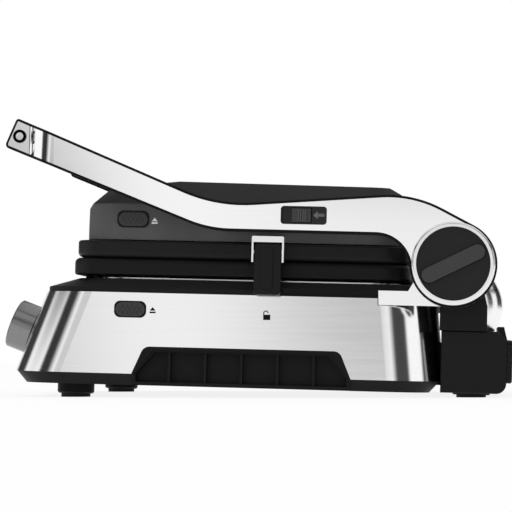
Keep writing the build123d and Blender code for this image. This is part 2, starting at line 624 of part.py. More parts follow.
# Towers that hold the hinge, with their shafts
towers = {}
for side, tag in ((1, "r"), (-1, "l")):
    inner_x = TOWER_IN_X if side > 0 else -TOWER_OUT_X
    outer_x = TOWER_OUT_X if side > 0 else -TOWER_IN_X
    with BuildPart() as tower:
        add(block((inner_x, TOWER_FRONT_Y, HOUSING_TOP_Z), (outer_x, TOWER_REAR_Y, BARREL_Z)))
        add(side_wedge([(TOWER_FRONT_Y, BARREL_Z - 1), (TOWER_REAR_Y, BARREL_Z - 1),
                        (TOWER_EYE_R - 0.5, HINGE_Z), (-TOWER_EYE_R + 0.5, HINGE_Z)], inner_x, outer_x))
        add(side_disc(TOWER_EYE_R, 0, HINGE_Z, inner_x, outer_x))
        add(side_disc(SHAFT_R, 0, HINGE_Z, inner_x - 1, outer_x + 1), mode=Mode.SUBTRACT)
    towers[tag] = tower.part

KNOB_SEAT_X = ARM_CORE_OUT_X + ARM_SKIN_T
SHAFT_END_X = ARM_IN_X + SHAFT_IN_ARM
hinge_shaft_r = side_disc(SHAFT_R, 0, HINGE_Z, TOWER_IN_X, SHAFT_END_X)
hinge_shaft_l = mirror(hinge_shaft_r, about=Plane.YZ)

# Hinge brackets: metal plates from the tub's upper edge to the hinge eye
STRIP_FRONT_Y = -132.0
STEP_Y = -58.2
STRIP_TOP_Z = 79.0
STRIP_LOW_Z = 75.2
STEP_LOW_Z = 67.8
HORN_Y = -34.7
HORN_TIP_Y = -30.3
HORN_TIP_Z = 86.6
bracket_points = [
    (STRIP_FRONT_Y, STRIP_LOW_Z), (STRIP_FRONT_Y, STRIP_TOP_Z), (HORN_Y, STRIP_TOP_Z),
    (HORN_TIP_Y, HORN_TIP_Z), (0, HORN_TIP_Z), (0, STEP_LOW_Z), (STEP_Y, STEP_LOW_Z),
    (STEP_Y, STRIP_LOW_Z),
]
with BuildPart() as hinge_bracket_r:
    add(side_wedge(bracket_points, BRACKET_IN_X, BRACKET_OUT_X))
    add(side_disc(HUB_R, 0, HINGE_Z, BRACKET_IN_X, BRACKET_OUT_X))
    add(side_disc(TOWER_EYE_R, 0, HINGE_Z, TOWER_OUT_X, BRACKET_IN_X))
    add(block((BASE_TOP_HALF_X - DECK_INSET, STEP_Y + 4, BASE_TOP_Z + 0.2),
              (BRACKET_IN_X, HORN_TIP_Y, BASE_TOP_Z + DECK_BAND_H)))
    add(side_disc(SHAFT_R, 0, HINGE_Z, TOWER_OUT_X - 1, BRACKET_OUT_X + 1), mode=Mode.SUBTRACT)
hinge_bracket_l = mirror(hinge_bracket_r.part, about=Plane.YZ)


# Arm outline: two straight runs with an elbow and a crest, tangent to the hub
def arm_outline(inset, low_x, high_x):
    neck_end = LOW_NECK[1] - LOW_NECK_R - 0.2
    with BuildPart() as piece:
        with BuildSketch(Plane.YZ.offset(low_x)) as outline:
            with BuildLine():
                Polyline(TIP_TOP, TOP_ELBOW, TOP_CREST, HUB_TANGENT, (0, neck_end),
                         (LOW_NECK[0], neck_end), LOW_NECK, LOW_ELBOW, TIP_LOW, close=True)
            make_face()
            for corner, radius in ((TOP_ELBOW, TOP_ELBOW_R), (TOP_CREST, TOP_CREST_R),
                                   (LOW_ELBOW, LOW_ELBOW_R), (LOW_NECK, LOW_NECK_R),
                                   (TIP_TOP, 2.5), (TIP_LOW, 3.5)):
                fillet(outline.vertices().sort_by_distance((corner[0], corner[1], 0))[0], radius)
            Circle(HUB_R)
            if inset > 0:
                offset(amount=-inset, kind=Kind.INTERSECTION, mode=Mode.REPLACE)
        extrude(amount=high_x - low_x)
    return piece.part.moved(Location((0, 0, HINGE_Z)))


# Plan band that bends the arm inwards and straight again before the grip, in concentric arcs
JOG_DEPTH = (JOG_R + JOG_RETURN_R) * (1 - cos(radians(JOG_TURN)))
JOG_END_Y = JOG_START_Y - (JOG_R + JOG_RETURN_R) * sin(radians(JOG_TURN))
BAND_FRONT_Y = TIP_LOW[0] - 60
BAND_REAR_Y = 2 * HUB_R


def bend_line(face_x):
    bend_x = ARM_CORE_OUT_X - JOG_R
    return_x = bend_x + (JOG_R + JOG_RETURN_R) * cos(radians(JOG_TURN))
    radius = face_x - bend_x
    Line((face_x, BAND_REAR_Y), (face_x, JOG_START_Y))
    CenterArc((bend_x, JOG_START_Y), radius, 0, -JOG_TURN)
    last = CenterArc((return_x, JOG_END_Y), JOG_R + JOG_RETURN_R - radius, 180 - JOG_TURN, JOG_TURN)
    return (last @ 1).X


def arm_band(near_x, far_x):
    with BuildPart() as piece:
        with BuildSketch(Plane.XY):
            with BuildLine():
                near_tip_x = bend_line(near_x)
                far_tip_x = bend_line(far_x)
                Polyline((near_tip_x, JOG_END_Y), (near_tip_x, BAND_FRONT_Y), (far_tip_x, BAND_FRONT_Y),
                         (far_tip_x, JOG_END_Y))
                Line((near_x, BAND_REAR_Y), (far_x, BAND_REAR_Y))
            make_face()
        extrude(amount=3 * HINGE_Z)
    return piece.part


SLOT_FRONT_Y = SLOT_REAR_Y - SLOT_L
SLOT_MID_Y = SLOT_REAR_Y - SLOT_L / 2
SLOT_FLOOR_X = KNOB_SEAT_X - SLOT_DEPTH
switch_window = side_slot(SLOT_L, SLOT_H, SLOT_R, SLOT_MID_Y, SLOT_Z, SLOT_FLOOR_X, KNOB_SEAT_X + 1)
pivot_bore = side_disc(PIVOT_R + FIT, PIVOT_Y, PIVOT_Z, ARM_IN_X - 1, ARM_CORE_OUT_X - 1.5)
shaft_bore = side_disc(SHAFT_R + FIT, 0, HINGE_Z, ARM_IN_X - 1, SHAFT_END_X + GAP)

# Handle screw centre, in the side view
TIP_DIR = Vector(TIP_TOP[0] - TIP_LOW[0], TIP_TOP[1] - TIP_LOW[1], 0).normalized()
TIP_MID = ((TIP_TOP[0] + TIP_LOW[0]) / 2, (TIP_TOP[1] + TIP_LOW[1]) / 2)
GRIP_Y = TIP_MID[0] + GRIP_FROM_TIP * TIP_DIR.Y
GRIP_Z = HINGE_Z + TIP_MID[1] - GRIP_FROM_TIP * TIP_DIR.X
GRIP_HALF_X = ARM_IN_X - JOG_DEPTH
TIP_FACE_X = KNOB_SEAT_X - JOG_DEPTH
grip_screw_r = side_disc(SCREW_HEAD_R, GRIP_Y, GRIP_Z, TIP_FACE_X - SCREW_SINK,
                         TIP_FACE_X - SCREW_SINK + SCREW_HEAD_H)
screw_seat = side_disc(SCREW_HEAD_R + FIT, GRIP_Y, GRIP_Z, TIP_FACE_X - SCREW_SINK, TIP_FACE_X + 2)


def arm_core(extra_cuts):
    with BuildPart() as piece:
        add(arm_outline(0, GRIP_HALF_X - 1, ARM_CORE_OUT_X + 1))
        add(arm_band(ARM_IN_X, ARM_CORE_OUT_X), mode=Mode.INTERSECT)
        for cut in [pivot_bore, shaft_bore, grip_screw_r] + extra_cuts:
            add(cut, mode=Mode.SUBTRACT)
    return piece.part


def arm_skin(extra_cuts):
    with BuildPart() as piece:
        add(arm_outline(ARM_BORDER, GRIP_HALF_X - 1, KNOB_SEAT_X + 1))
        add(arm_band(ARM_CORE_OUT_X, KNOB_SEAT_X), mode=Mode.INTERSECT)
        for cut in [screw_seat] + extra_cuts:
            add(cut, mode=Mode.SUBTRACT)
    return piece.part


spindle_hole = side_disc(KNOB_SPINDLE_R + FIT, 0, HINGE_Z, SHAFT_END_X, KNOB_SEAT_X + 1)
arm_core_r = arm_core([switch_window, spindle_hole])
arm_skin_r = arm_skin([switch_window, spindle_hole])
arm_core_l = mirror(arm_core([]), about=Plane.YZ)
arm_skin_l = mirror(arm_skin([]), about=Plane.YZ)
with BuildPart() as hub_cap_l:
    with BuildSketch(Plane.YZ.offset(-KNOB_SEAT_X)):
        with Locations((0, HINGE_Z)):
            Circle(HUB_R - ARM_BORDER - 4)
    extrude(amount=-3)
    chamfer(hub_cap_l.faces().sort_by(Axis.X)[0].edges(), 1.2)

# Grip bar between the arm tips, leaning with them
grip_plane = Plane(origin=(-GRIP_HALF_X, GRIP_Y, GRIP_Z), x_dir=(0, TIP_DIR.Y, -TIP_DIR.X), z_dir=(1, 0, 0))
with BuildPart() as grip_bar:
    with BuildSketch(grip_plane):
        RectangleRounded(GRIP_T, GRIP_H, GRIP_R)
    extrude(amount=2 * GRIP_HALF_X)

with BuildPart() as screw_socket:
    with BuildSketch(Plane.YZ.offset(TIP_FACE_X - SCREW_SINK + SCREW_HEAD_H)):
        with Locations((GRIP_Y, GRIP_Z)):
            RegularPolygon(SCREW_HEX, 6)
    extrude(amount=-1.6)
grip_screw_r = grip_screw_r - screw_socket.part
grip_screw_l = mirror(grip_screw_r, about=Plane.YZ)

# Slide switch: lined window with a ribbed slider
BEZEL_OUT_X = KNOB_SEAT_X - 0.6
SLIDER_OUT_X = KNOB_SEAT_X - 0.8
SLIDER_REAR_Y = SLOT_REAR_Y - SLIDER_FROM_REAR
SLIDER_HALF_H = SLOT_H / 2 - BEZEL_T - 0.3
with BuildPart() as switch_bezel:
    add(side_slot(SLOT_L, SLOT_H, SLOT_R, SLOT_MID_Y, SLOT_Z, SLOT_FLOOR_X, BEZEL_OUT_X))
    add(block((SLOT_FLOOR_X + BEZEL_T, SLOT_FRONT_Y + BEZEL_T, SLOT_Z - SLOT_H / 2 + BEZEL_T),
              (BEZEL_OUT_X + 1, SLIDER_REAR_Y + 0.5, SLOT_Z + SLOT_H / 2 - BEZEL_T)), mode=Mode.SUBTRACT)
with BuildPart() as slide_switch:
    add(block((SLOT_FLOOR_X + BEZEL_T + 0.3, SLIDER_REAR_Y - SLIDER_L, SLOT_Z - SLIDER_HALF_H),
              (SLIDER_OUT_X, SLIDER_REAR_Y, SLOT_Z + SLIDER_HALF_H)))
    fillet(slide_switch.faces().sort_by(Axis.X)[-1].edges(), SOFT_EDGE)
    with BuildSketch(Plane.XY.offset(SLOT_Z - SLIDER_HALF_H + SOFT_EDGE)):
        with Locations((SLIDER_OUT_X, SLIDER_REAR_Y - 3.6)):
            with GridLocations(1, 3.8, 1, 2):
                Rectangle(2.4, 1.6)
    extrude(amount=2 * (SLIDER_HALF_H - SOFT_EDGE))

# Hinge knob: metal ring, black face with a grip bar, spindle into the shaft
KNOB_RING_X = KNOB_SEAT_X + KNOB_RING_H
KNOB_FACE_X = KNOB_RING_X - KNOB_FACE_DROP
with BuildPart() as knob_ring:
    add(side_disc(KNOB_RING_R, 0, HINGE_Z, KNOB_SEAT_X + GAP, KNOB_RING_X))
    fillet(knob_ring.edges().filter_by(GeomType.CIRCLE).sort_by(Axis.X)[-1], 1.6)
    add(side_disc(KNOB_FACE_R, 0, HINGE_Z, KNOB_SEAT_X, KNOB_RING_X + 1), mode=Mode.SUBTRACT)
with BuildPart() as knob_face:
    add(side_disc(KNOB_FACE_R, 0, HINGE_Z, KNOB_SEAT_X + GAP, KNOB_FACE_X))
    with BuildSketch(Plane.YZ.offset(KNOB_FACE_X)):
        with Locations((0, HINGE_Z)):
            SlotOverall(2 * KNOB_FACE_R - 3, KNOB_BAR_W, rotation=KNOB_BAR_ANGLE)
    extrude(amount=KNOB_FACE_DROP + KNOB_BAR_PROUD, taper=12)
    fillet(knob_face.faces().sort_by(Axis.X)[-1].edges(), SOFT_EDGE)
    add(side_disc(KNOB_SPINDLE_R, 0, HINGE_Z, SHAFT_END_X + 2 * GAP, KNOB_SEAT_X + 1))


# Lid housing: side outline crossed with a rounded plan
def lid_solid(inset, low_z):
    points = [
        (LID_FRONT_Y + inset, low_z),
        (LID_FRONT_Y + LID_FRONT_SLOPE + inset, LID_SIDE_TOP_Z - LID_BROW),
        (LID_SHOULDER_Y + 0.6 * inset, LID_SHOULDER_Z - 0.7 * inset),
        (LID_CREST_Y, LID_CREST_Z - inset),
        (LID_BACK_Y, LID_BACK_Z - inset),
        (LID_REAR_TOP_Y - 0.8 * inset, LID_REAR_TOP_Z - 0.6 * inset),
        (LID_REAR_Y - inset, low_z),
    ]
    with BuildPart() as piece:
        add(side_wedge(points, -LID_HALF_X, LID_HALF_X))
        with BuildPart(mode=Mode.PRIVATE) as plan:
            add(slab(LID_HALF_X - inset, LID_FRONT_Y + inset, LID_REAR_Y - inset, LID_R - inset, low_z,
                     LID_SIDE_TOP_Z))
            add(drafted((LID_HALF_X - inset, LID_FRONT_Y + inset, LID_REAR_Y - inset, LID_R - inset,
                         LID_SIDE_TOP_Z),
                        (LID_HALF_X - LID_TOP_INSET_X - inset, LID_FRONT_Y + LID_TOP_INSET_FRONT + inset,
                         LID_REAR_Y - LID_TOP_INSET_REAR - inset, LID_R + LID_TOP_R_GROWTH - inset,
                         LID_CREST_Z + 1 - inset)))
        add(plan.part, mode=Mode.INTERSECT)
    return piece.part


with BuildPart() as lid_shell:
    add(lid_solid(0, LID_BOTTOM_Z))
    brow_z = LID_SIDE_TOP_Z - LID_BROW - 1
    fillet(lid_shell.edges().filter_by(lambda edge: edge.center().Z > brow_z), LID_EDGE_R)
    add(lid_solid(LID_WALL, LID_BOTTOM_Z - 1), mode=Mode.SUBTRACT)
    add(side_slot(BUTTON_L + 2 * BUTTON_GAP, BUTTON_H + 2 * BUTTON_GAP, BUTTON_H / 2 + BUTTON_GAP - 0.01,
                  LID_BUTTON_Y, LID_BUTTON_Z, LID_HALF_X - 12, LID_HALF_X + 5), mode=Mode.SUBTRACT)

# Lid liner: reflector sheet under the shell, domed over the upper element
UPPER_ELEMENT_Z = LID_BOTTOM_Z + ELEMENT_R + 0.3
with BuildPart() as lid_liner:
    add(slab(LID_HALF_X - LINER_INSET, LID_FRONT_Y + LINER_INSET, LID_REAR_Y - LINER_INSET,
             LID_R - LINER_INSET, LID_BOTTOM_Z, LID_BOTTOM_Z + LINER_T))
    add(slab(WELL_HALF_X, WELL_FRONT_Y, WELL_REAR_Y, WELL_R, LID_BOTTOM_Z, LID_BOTTOM_Z + LINER_DOME_H))
    add(slab(WELL_HALF_X - LINER_T, WELL_FRONT_Y + LINER_T, WELL_REAR_Y - LINER_T, WELL_R - LINER_T,
             LID_BOTTOM_Z - 1, LID_BOTTOM_Z + LINER_DOME_H - LINER_T), mode=Mode.SUBTRACT)
upper_element = element_tube(UPPER_ELEMENT_Z, LINER_T)

# Lid pivots: bosses on the lid's sides with pins into the arms
with BuildPart() as lid_pivot_r:
    add(side_disc(PIVOT_BOSS_R, PIVOT_Y, PIVOT_Z, LID_HALF_X, ARM_IN_X - PIVOT_BOSS_GAP))
    add(side_disc(PIVOT_R, PIVOT_Y, PIVOT_Z, ARM_IN_X - 1, ARM_CORE_OUT_X - 2))
lid_pivot_l = mirror(lid_pivot_r.part, about=Plane.YZ)

# Latch: folded metal bracket, pin and ribbed lever
CHEEK_LOW_Y = LATCH_Y - CHEEK_W / 2
CHEEK_HIGH_Y = LATCH_Y + CHEEK_W / 2
with BuildPart() as latch_bracket:
    add(block((LID_HALF_X, CHEEK_LOW_Y, CHEEK_TIP_Z), (CHEEK_OUT_X, CHEEK_HIGH_Y, CHEEK_TOP_Z)))
    fillet(latch_bracket.edges().filter_by(Axis.X).group_by(Axis.Z)[-1], CHEEK_EDGE_R)
    add(block((LID_HALF_X - 1, CHEEK_LOW_Y + CHEEK_T, CHEEK_TIP_Z - 1),
              (CHEEK_OUT_X + 1, CHEEK_HIGH_Y - CHEEK_T, CHEEK_TOP_Z - CHEEK_WEB)), mode=Mode.SUBTRACT)
    add(block((LID_HALF_X - 1, CHEEK_LOW_Y - 1, CHEEK_TIP_Z - 1),
              (PLATE_HALF_X + 1.5, CHEEK_HIGH_Y + 1, LID_BOTTOM_Z + 0.6)), mode=Mode.SUBTRACT)
    with BuildSketch(Plane.XZ.offset(-CHEEK_HIGH_Y - 1)):
        with BuildLine():
            Polyline((PLATE_HALF_X, CHEEK_TIP_Z - 1), (LATCH_PIN_X - 4, CHEEK_TIP_Z - 1),
                     (PLATE_HALF_X, LATCH_PIN_Z + 2), close=True)
        make_face()
    extrude(amount=CHEEK_W + 2, mode=Mode.SUBTRACT)
    with BuildSketch(Plane.XZ.offset(-CHEEK_HIGH_Y - 1)):
        with Locations((LATCH_PIN_X, LATCH_PIN_Z)):
            Circle(LATCH_PIN_R)
    extrude(amount=CHEEK_W + 2, mode=Mode.SUBTRACT)
with BuildPart() as latch_pin:
    with BuildSketch(Plane.XZ.offset(-CHEEK_HIGH_Y)):
        with Locations((LATCH_PIN_X, LATCH_PIN_Z)):
            Circle(LATCH_PIN_R)
    extrude(amount=CHEEK_W)
LEVER_W = CHEEK_W - 2 * CHEEK_T - 2 * LEVER_SIDE_GAP
with BuildPart() as latch_lever:
    with BuildSketch(Plane.YZ.offset(LEVER_IN_X)):
        with Locations((LATCH_Y, (LEVER_TOP_Z + LEVER_LOW_Z) / 2)):
            RectangleRounded(LEVER_W, LEVER_TOP_Z - LEVER_LOW_Z, 3)
    extrude(amount=LEVER_OUT_X - LEVER_IN_X - 1)
    fillet(latch_lever.faces().sort_by(Axis.X)[-1].edges(), SOFT_EDGE)
    with BuildSketch(Plane.YZ.offset(LEVER_OUT_X - 1.6)):
        with Locations((LATCH_Y, (LEVER_TOP_Z + LEVER_LOW_Z) / 2 + 0.5)):
            with GridLocations(3.5, 1, 2, 1):
                Rectangle(1.0, LEVER_TOP_Z - LEVER_LOW_Z - 10)
            RectangleRounded(RIB_W, LEVER_TOP_Z - LEVER_LOW_Z - 9, 2)
    extrude(amount=3.2)
    with BuildSketch(Plane.XZ.offset(-CHEEK_HIGH_Y - 1)):
        with Locations((LATCH_PIN_X, LATCH_PIN_Z)):
            Circle(LATCH_PIN_R + FIT)
    extrude(amount=CHEEK_W + 2, mode=Mode.SUBTRACT)


# Release buttons: knurled ovals on stems
def release_button(y, z, face_x):
    with BuildPart() as piece:
        add(side_slot(BUTTON_L, BUTTON_H, BUTTON_H / 2 - 0.01, y, z, face_x - BUTTON_STEM,
                      face_x + BUTTON_PROUD))
        fillet(piece.faces().sort_by(Axis.X)[-1].edges(), 0.8)
        for angle in (35, -35):
            with BuildSketch(Plane.YZ.offset(face_x + BUTTON_PROUD)):
                with Locations((y, z)):
                    with Locations(Location((0, 0), angle)):
                        with GridLocations(KNURL_PITCH, 1, 7, 1):
                            Rectangle(0.5, BUTTON_H * 2.4)
                with Locations((y, z)):
                    RectangleRounded(BUTTON_L - 3.2, BUTTON_H - 3.2, BUTTON_H / 2 - 1.7, mode=Mode.INTERSECT)
            extrude(amount=-KNURL_DEPTH, mode=Mode.SUBTRACT)
    return piece.part


BASE_BUTTON_FACE_X = tub_outline(BASE_BUTTON_Z, 0)[0]
base_button = release_button(BASE_BUTTON_Y, BASE_BUTTON_Z, BASE_BUTTON_FACE_X)
lid_button = release_button(LID_BUTTON_Y, LID_BUTTON_Z, LID_HALF_X)


# Front knobs on collars, and the display between them
def front_knob(x):
    with BuildPart() as piece:
        with BuildSketch(FRONT_PLANE.offset(COLLAR_T + 0.3)):
            with Locations((x, 0)):
                Circle(FRONT_KNOB_R)
        extrude(amount=FRONT_KNOB_L)
        face = piece.faces().sort_by(Axis((0, 0, 0), FRONT_NORMAL))[-1]
        chamfer(face.edges(), 1.2)
        with BuildSketch(FRONT_PLANE.offset(COLLAR_T + 0.3 + FRONT_KNOB_L)):
            with Locations((x, FRONT_KNOB_R * 0.55)):
                Rectangle(1.6, FRONT_KNOB_R * 0.6)
        extrude(amount=-0.6, mode=Mode.SUBTRACT)
        with BuildSketch(FRONT_PLANE.offset(-WALL - 4)):
            with Locations((x, 0)):
                Circle(FRONT_SHAFT_R)
        extrude(amount=WALL + 4 + COLLAR_T + 1)
    return piece.part


def knob_collar(x):
    with BuildPart() as piece:
        with BuildSketch(FRONT_PLANE):
            with Locations((x, 0)):
                Circle(COLLAR_R)
                Circle(FRONT_SHAFT_R + 0.3, mode=Mode.SUBTRACT)
        extrude(amount=COLLAR_T)
    return piece.part


with BuildPart() as display_bezel:
    with BuildSketch(FRONT_PLANE):
        RectangleRounded(DISPLAY_W, DISPLAY_H, 5)
        RectangleRounded(DISPLAY_W - 2 * DISPLAY_RIM, DISPLAY_H - 2 * DISPLAY_RIM, 3, mode=Mode.SUBTRACT)
    extrude(amount=DISPLAY_T)
with BuildPart() as display_window:
    with BuildSketch(FRONT_PLANE):
        RectangleRounded(DISPLAY_W - 2 * DISPLAY_RIM, DISPLAY_H - 2 * DISPLAY_RIM, 3)
    extrude(amount=DISPLAY_T - 0.6)

# Power cord gland on the far side of the rear housing
with BuildPart() as cord_gland:
    add(side_disc(GLAND_R, GLAND_Y, GLAND_Z, -HOUSING_HALF_X - GLAND_L, -HOUSING_HALF_X))
    fillet(cord_gland.edges().filter_by(GeomType.CIRCLE).sort_by(Axis.X)[0], 2)
    add(side_disc(GLAND_BORE_R, GLAND_Y, GLAND_Z, -HOUSING_HALF_X - GLAND_L - 1, -HOUSING_HALF_X + 1),
        mode=Mode.SUBTRACT)

pieces = {
    "bottom_pan": bottom_pan.part,
    "base_housing": base_housing.part,
    "steel_wrap": steel_wrap.part,
    "vent_grille_r": vent_grille_r.part,
    "vent_grille_l": vent_grille_l,
    "deck": deck.part,
    "heater_pan": heater_pan.part,
    "lower_element": lower_element,
    "lower_plate": lower_plate.part,
    "upper_plate": upper_plate.part,
    "rear_housing": rear_housing.part,
    "drip_tray": drip_tray.part,
    "tray_panel": tray_panel.part,
    "rear_cover": rear_cover.part,
    "tower_r": towers["r"],
    "tower_l": towers["l"],
    "hinge_shaft_r": hinge_shaft_r,
    "hinge_shaft_l": hinge_shaft_l,
    "hinge_bracket_r": hinge_bracket_r.part,
    "hinge_bracket_l": hinge_bracket_l,
    "arm_core_r": arm_core_r,
    "arm_core_l": arm_core_l,
    "arm_skin_r": arm_skin_r,
    "arm_skin_l": arm_skin_l,
    "hub_cap_l": hub_cap_l.part,
    "grip_bar": grip_bar.part,
    "grip_screw_r": grip_screw_r,
    "grip_screw_l": grip_screw_l,
    "switch_bezel": switch_bezel.part,
    "slide_switch": slide_switch.part,
    "knob_ring": knob_ring.part,
    "knob_face": knob_face.part,
    "lid_shell": lid_shell.part,
    "lid_liner": lid_liner.part,
    "upper_element": upper_element,
    "lid_pivot_r": lid_pivot_r.part,
    "lid_pivot_l": lid_pivot_l,
    "latch_bracket": latch_bracket.part,
    "latch_pin": latch_pin.part,
    "latch_lever": latch_lever.part,
    "base_button": base_button,
    "lid_button": lid_button,
    "front_knob_r": front_knob(FRONT_KNOB_X),
    "front_knob_l": front_knob(-FRONT_KNOB_X),
    "knob_collar_r": knob_collar(FRONT_KNOB_X),
    "knob_collar_l": knob_collar(-FRONT_KNOB_X),
    "display_bezel": display_bezel.part,
    "display_window": display_window.part,
    "cord_gland": cord_gland.part,
}
pieces.update(rest_pair)
pieces.update(feet)

# Stand the tilted machine on its soles, centred over its own footprint
tilted = {name: piece.rotate(Axis.X, -DRAIN_TILT) for name, piece in pieces.items()}
boxes = [piece.bounding_box() for piece in tilted.values()]
low_x = min(box.min.X for box in boxes)
high_x = max(box.max.X for box in boxes)
low_y = min(box.min.Y for box in boxes)
high_y = max(box.max.Y for box in boxes)
low_z = min(box.min.Z for box in boxes)
shift = Location((-(low_x + high_x) / 2, -(low_y + high_y) / 2, -low_z))

os.makedirs("parts", exist_ok=True)
for name, piece in tilted.items():
    placed = piece.moved(shift)
    placed.label = name
    export_step(placed, "parts/" + name + ".step")
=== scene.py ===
from math import pi, radians, sin, tan

import bmesh
import bpy
from mathutils import Matrix, Vector


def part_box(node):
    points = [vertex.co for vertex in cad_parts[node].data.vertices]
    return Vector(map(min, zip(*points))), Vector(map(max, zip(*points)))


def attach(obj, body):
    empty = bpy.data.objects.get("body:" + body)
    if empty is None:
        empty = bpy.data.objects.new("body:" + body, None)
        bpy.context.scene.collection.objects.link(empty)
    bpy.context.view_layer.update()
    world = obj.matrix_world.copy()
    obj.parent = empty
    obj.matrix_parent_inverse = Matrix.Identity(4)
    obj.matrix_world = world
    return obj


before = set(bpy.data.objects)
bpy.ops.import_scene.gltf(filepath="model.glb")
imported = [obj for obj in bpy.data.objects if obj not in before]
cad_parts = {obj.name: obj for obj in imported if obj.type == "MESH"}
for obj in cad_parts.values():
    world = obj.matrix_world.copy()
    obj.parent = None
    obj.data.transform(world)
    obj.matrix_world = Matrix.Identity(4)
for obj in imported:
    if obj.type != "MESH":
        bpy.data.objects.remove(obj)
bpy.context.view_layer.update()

bl_info = {
    "name": "Contact Grill",
    "version": (1, 0, 0),
    "blender": (4, 5, 0),
    "location": "3D View > Sidebar > Grill",
    "description": "Finishes, small details and studio of a folding contact grill",
    "category": "Object",
}

MM = 0.001


def finish_row(nodes, colour, shade, roughness, **rest):
    return {"nodes": nodes, "colour": colour, "shade": shade, "roughness": roughness, **rest}


# Each finish: its pieces, the setting that colours it, how light it is against that setting, and its surface
PLASTICS = {
    "tub plastic": finish_row(
        ["base_housing", "bottom_pan", "vent_grille_r", "vent_grille_l", "deck"],
        "black_plastic", 1.4, 0.5, grain_size=3000.0, grain_depth=0.35, specular=0.14),
    "carrier plastic": finish_row(
        ["arm_core_r", "arm_core_l", "lid_pivot_r", "lid_pivot_l", "plate_rest_r", "plate_rest_l",
         "front_foot_r", "front_foot_l", "rear_foot_r", "rear_foot_l", "drip_tray"],
        "black_plastic", 0.8, 0.46, grain_size=3400.0, grain_depth=0.3, specular=0.12),
    "tower plastic": finish_row(
        ["tower_r", "tower_l"],
        "black_plastic", 1.2, 0.42, grain_size=3400.0, grain_depth=0.25, specular=0.16),
    "knob plastic": finish_row(
        ["hub_cap_l", "knob_collar_r", "knob_collar_l"],
        "black_plastic", 2.4, 0.34, grain_size=3600.0, grain_depth=0.2, specular=0.26),
    "knob face plastic": finish_row(
        ["knob_face"],
        "black_plastic", 2.0, 0.34, grain_size=3600.0, grain_depth=0.2, specular=0.2),
    "lid plastic": finish_row(
        ["lid_shell"],
        "lid_plastic", 1.0, 0.52, grain_size=2600.0, grain_depth=0.4, specular=0.16),
    "button plastic": finish_row(
        ["base_button", "lid_button"],
        "button_plastic", 1.0, 0.36, grain_size=3600.0, grain_depth=0.25, specular=0.4),
    "slider plastic": finish_row(
        ["slide_switch"],
        "button_plastic", 0.9, 0.3, grain_size=3600.0, grain_depth=0.2, specular=0.5),
    "grip plastic": finish_row(
        ["grip_bar"],
        "grip_plastic", 1.0, 0.42, grain_size=2600.0, grain_depth=0.35, specular=0.2),
    "lever plastic": finish_row(
        ["latch_lever"],
        "black_plastic", 0.5, 0.22, grain_size=3400.0, grain_depth=0.12, specular=0.2),
    "rear gloss plastic": finish_row(
        ["rear_housing", "tray_panel"],
        "black_plastic", 1.0, 0.26, grain_size=900.0, grain_depth=0.06, specular=0.16),
    "panel gloss plastic": finish_row(
        ["switch_bezel", "display_bezel"],
        "black_plastic", 1.6, 0.2, grain_size=900.0, grain_depth=0.05, specular=0.3),
}
STEELS = {
    "wrap steel": finish_row(["steel_wrap"], "steel", 1.0, 0.12, line_depth=1.0, streak=0.006),
    "arm steel": finish_row(["arm_skin_r", "arm_skin_l"], "steel", 1.0, 0.09, line_depth=0.8, streak=0.01),
    "barrel steel": finish_row(["rear_cover"], "steel", 1.0, 0.2, line_depth=1.0, streak=0.03),
    "bracket steel": finish_row(["latch_bracket"], "bracket_steel", 1.0, 0.2, line_depth=0.8, streak=0.03),
    "hinge bracket steel": finish_row(
        ["hinge_bracket_r", "hinge_bracket_l"], "bracket_steel", 1.0, 0.12, line_depth=0.8, streak=0.015),
    "basin steel": finish_row(["heater_pan", "lid_liner"], "steel", 0.84, 0.26, line_depth=0.6, streak=0.05),
    "polished steel": finish_row(
        ["grip_screw_r", "grip_screw_l", "latch_pin", "knob_ring"],
        "steel", 0.9, 0.12, line_depth=0.3, streak=0.02),
    "heater steel": finish_row(
        ["lower_element", "upper_element", "hinge_shaft_r", "hinge_shaft_l"],
        "steel", 0.2, 0.42, line_depth=0.7, streak=0.08),
}
RUBBER_NODES = ["front_pad_r", "front_pad_l", "rear_pad_r", "rear_pad_l", "cord_gland"]


# Shared effects, with scales in repeats per metre along the machine's width, depth and height

EVEN = (1.0, 1.0, 1.0)
BRUSH_LINES = (2600.0, 34.0, 2600.0)
BRUSH_STREAKS = (420.0, 9.0, 420.0)
KNOB_LINES = (3000.0, 40.0, 3000.0)
CLOUD_SCALE = 26.0
SPECK_SCALE = 2200.0
PEEL_SCALE = 420.0


def new_group(name, inputs, outputs):
    group = bpy.data.node_groups.new(name, "ShaderNodeTree")
    for label, default, low, high in inputs:
        socket = group.interface.new_socket(label, in_out="INPUT", socket_type="NodeSocketFloat")
        socket.default_value = default
        socket.min_value = low
        socket.max_value = high
    for label in outputs:
        group.interface.new_socket(label, in_out="OUTPUT", socket_type="NodeSocketFloat")
    return group, group.nodes.new("NodeGroupInput"), group.nodes.new("NodeGroupOutput")


def place_on_object(tree, stretch):
    place = tree.nodes.new("ShaderNodeTexCoord")
    mapping = tree.nodes.new("ShaderNodeMapping")
    mapping.inputs["Scale"].default_value = stretch
    tree.links.new(place.outputs["Object"], mapping.inputs["Vector"])
    return mapping.outputs["Vector"]


def noise(tree, vector, scale, detail, roughness=0.5):
    node = tree.nodes.new("ShaderNodeTexNoise")
    node.inputs["Scale"].default_value = scale
    node.inputs["Detail"].default_value = detail
    node.inputs["Roughness"].default_value = roughness
    tree.links.new(vector, node.inputs["Vector"])
    return node.outputs["Fac"]


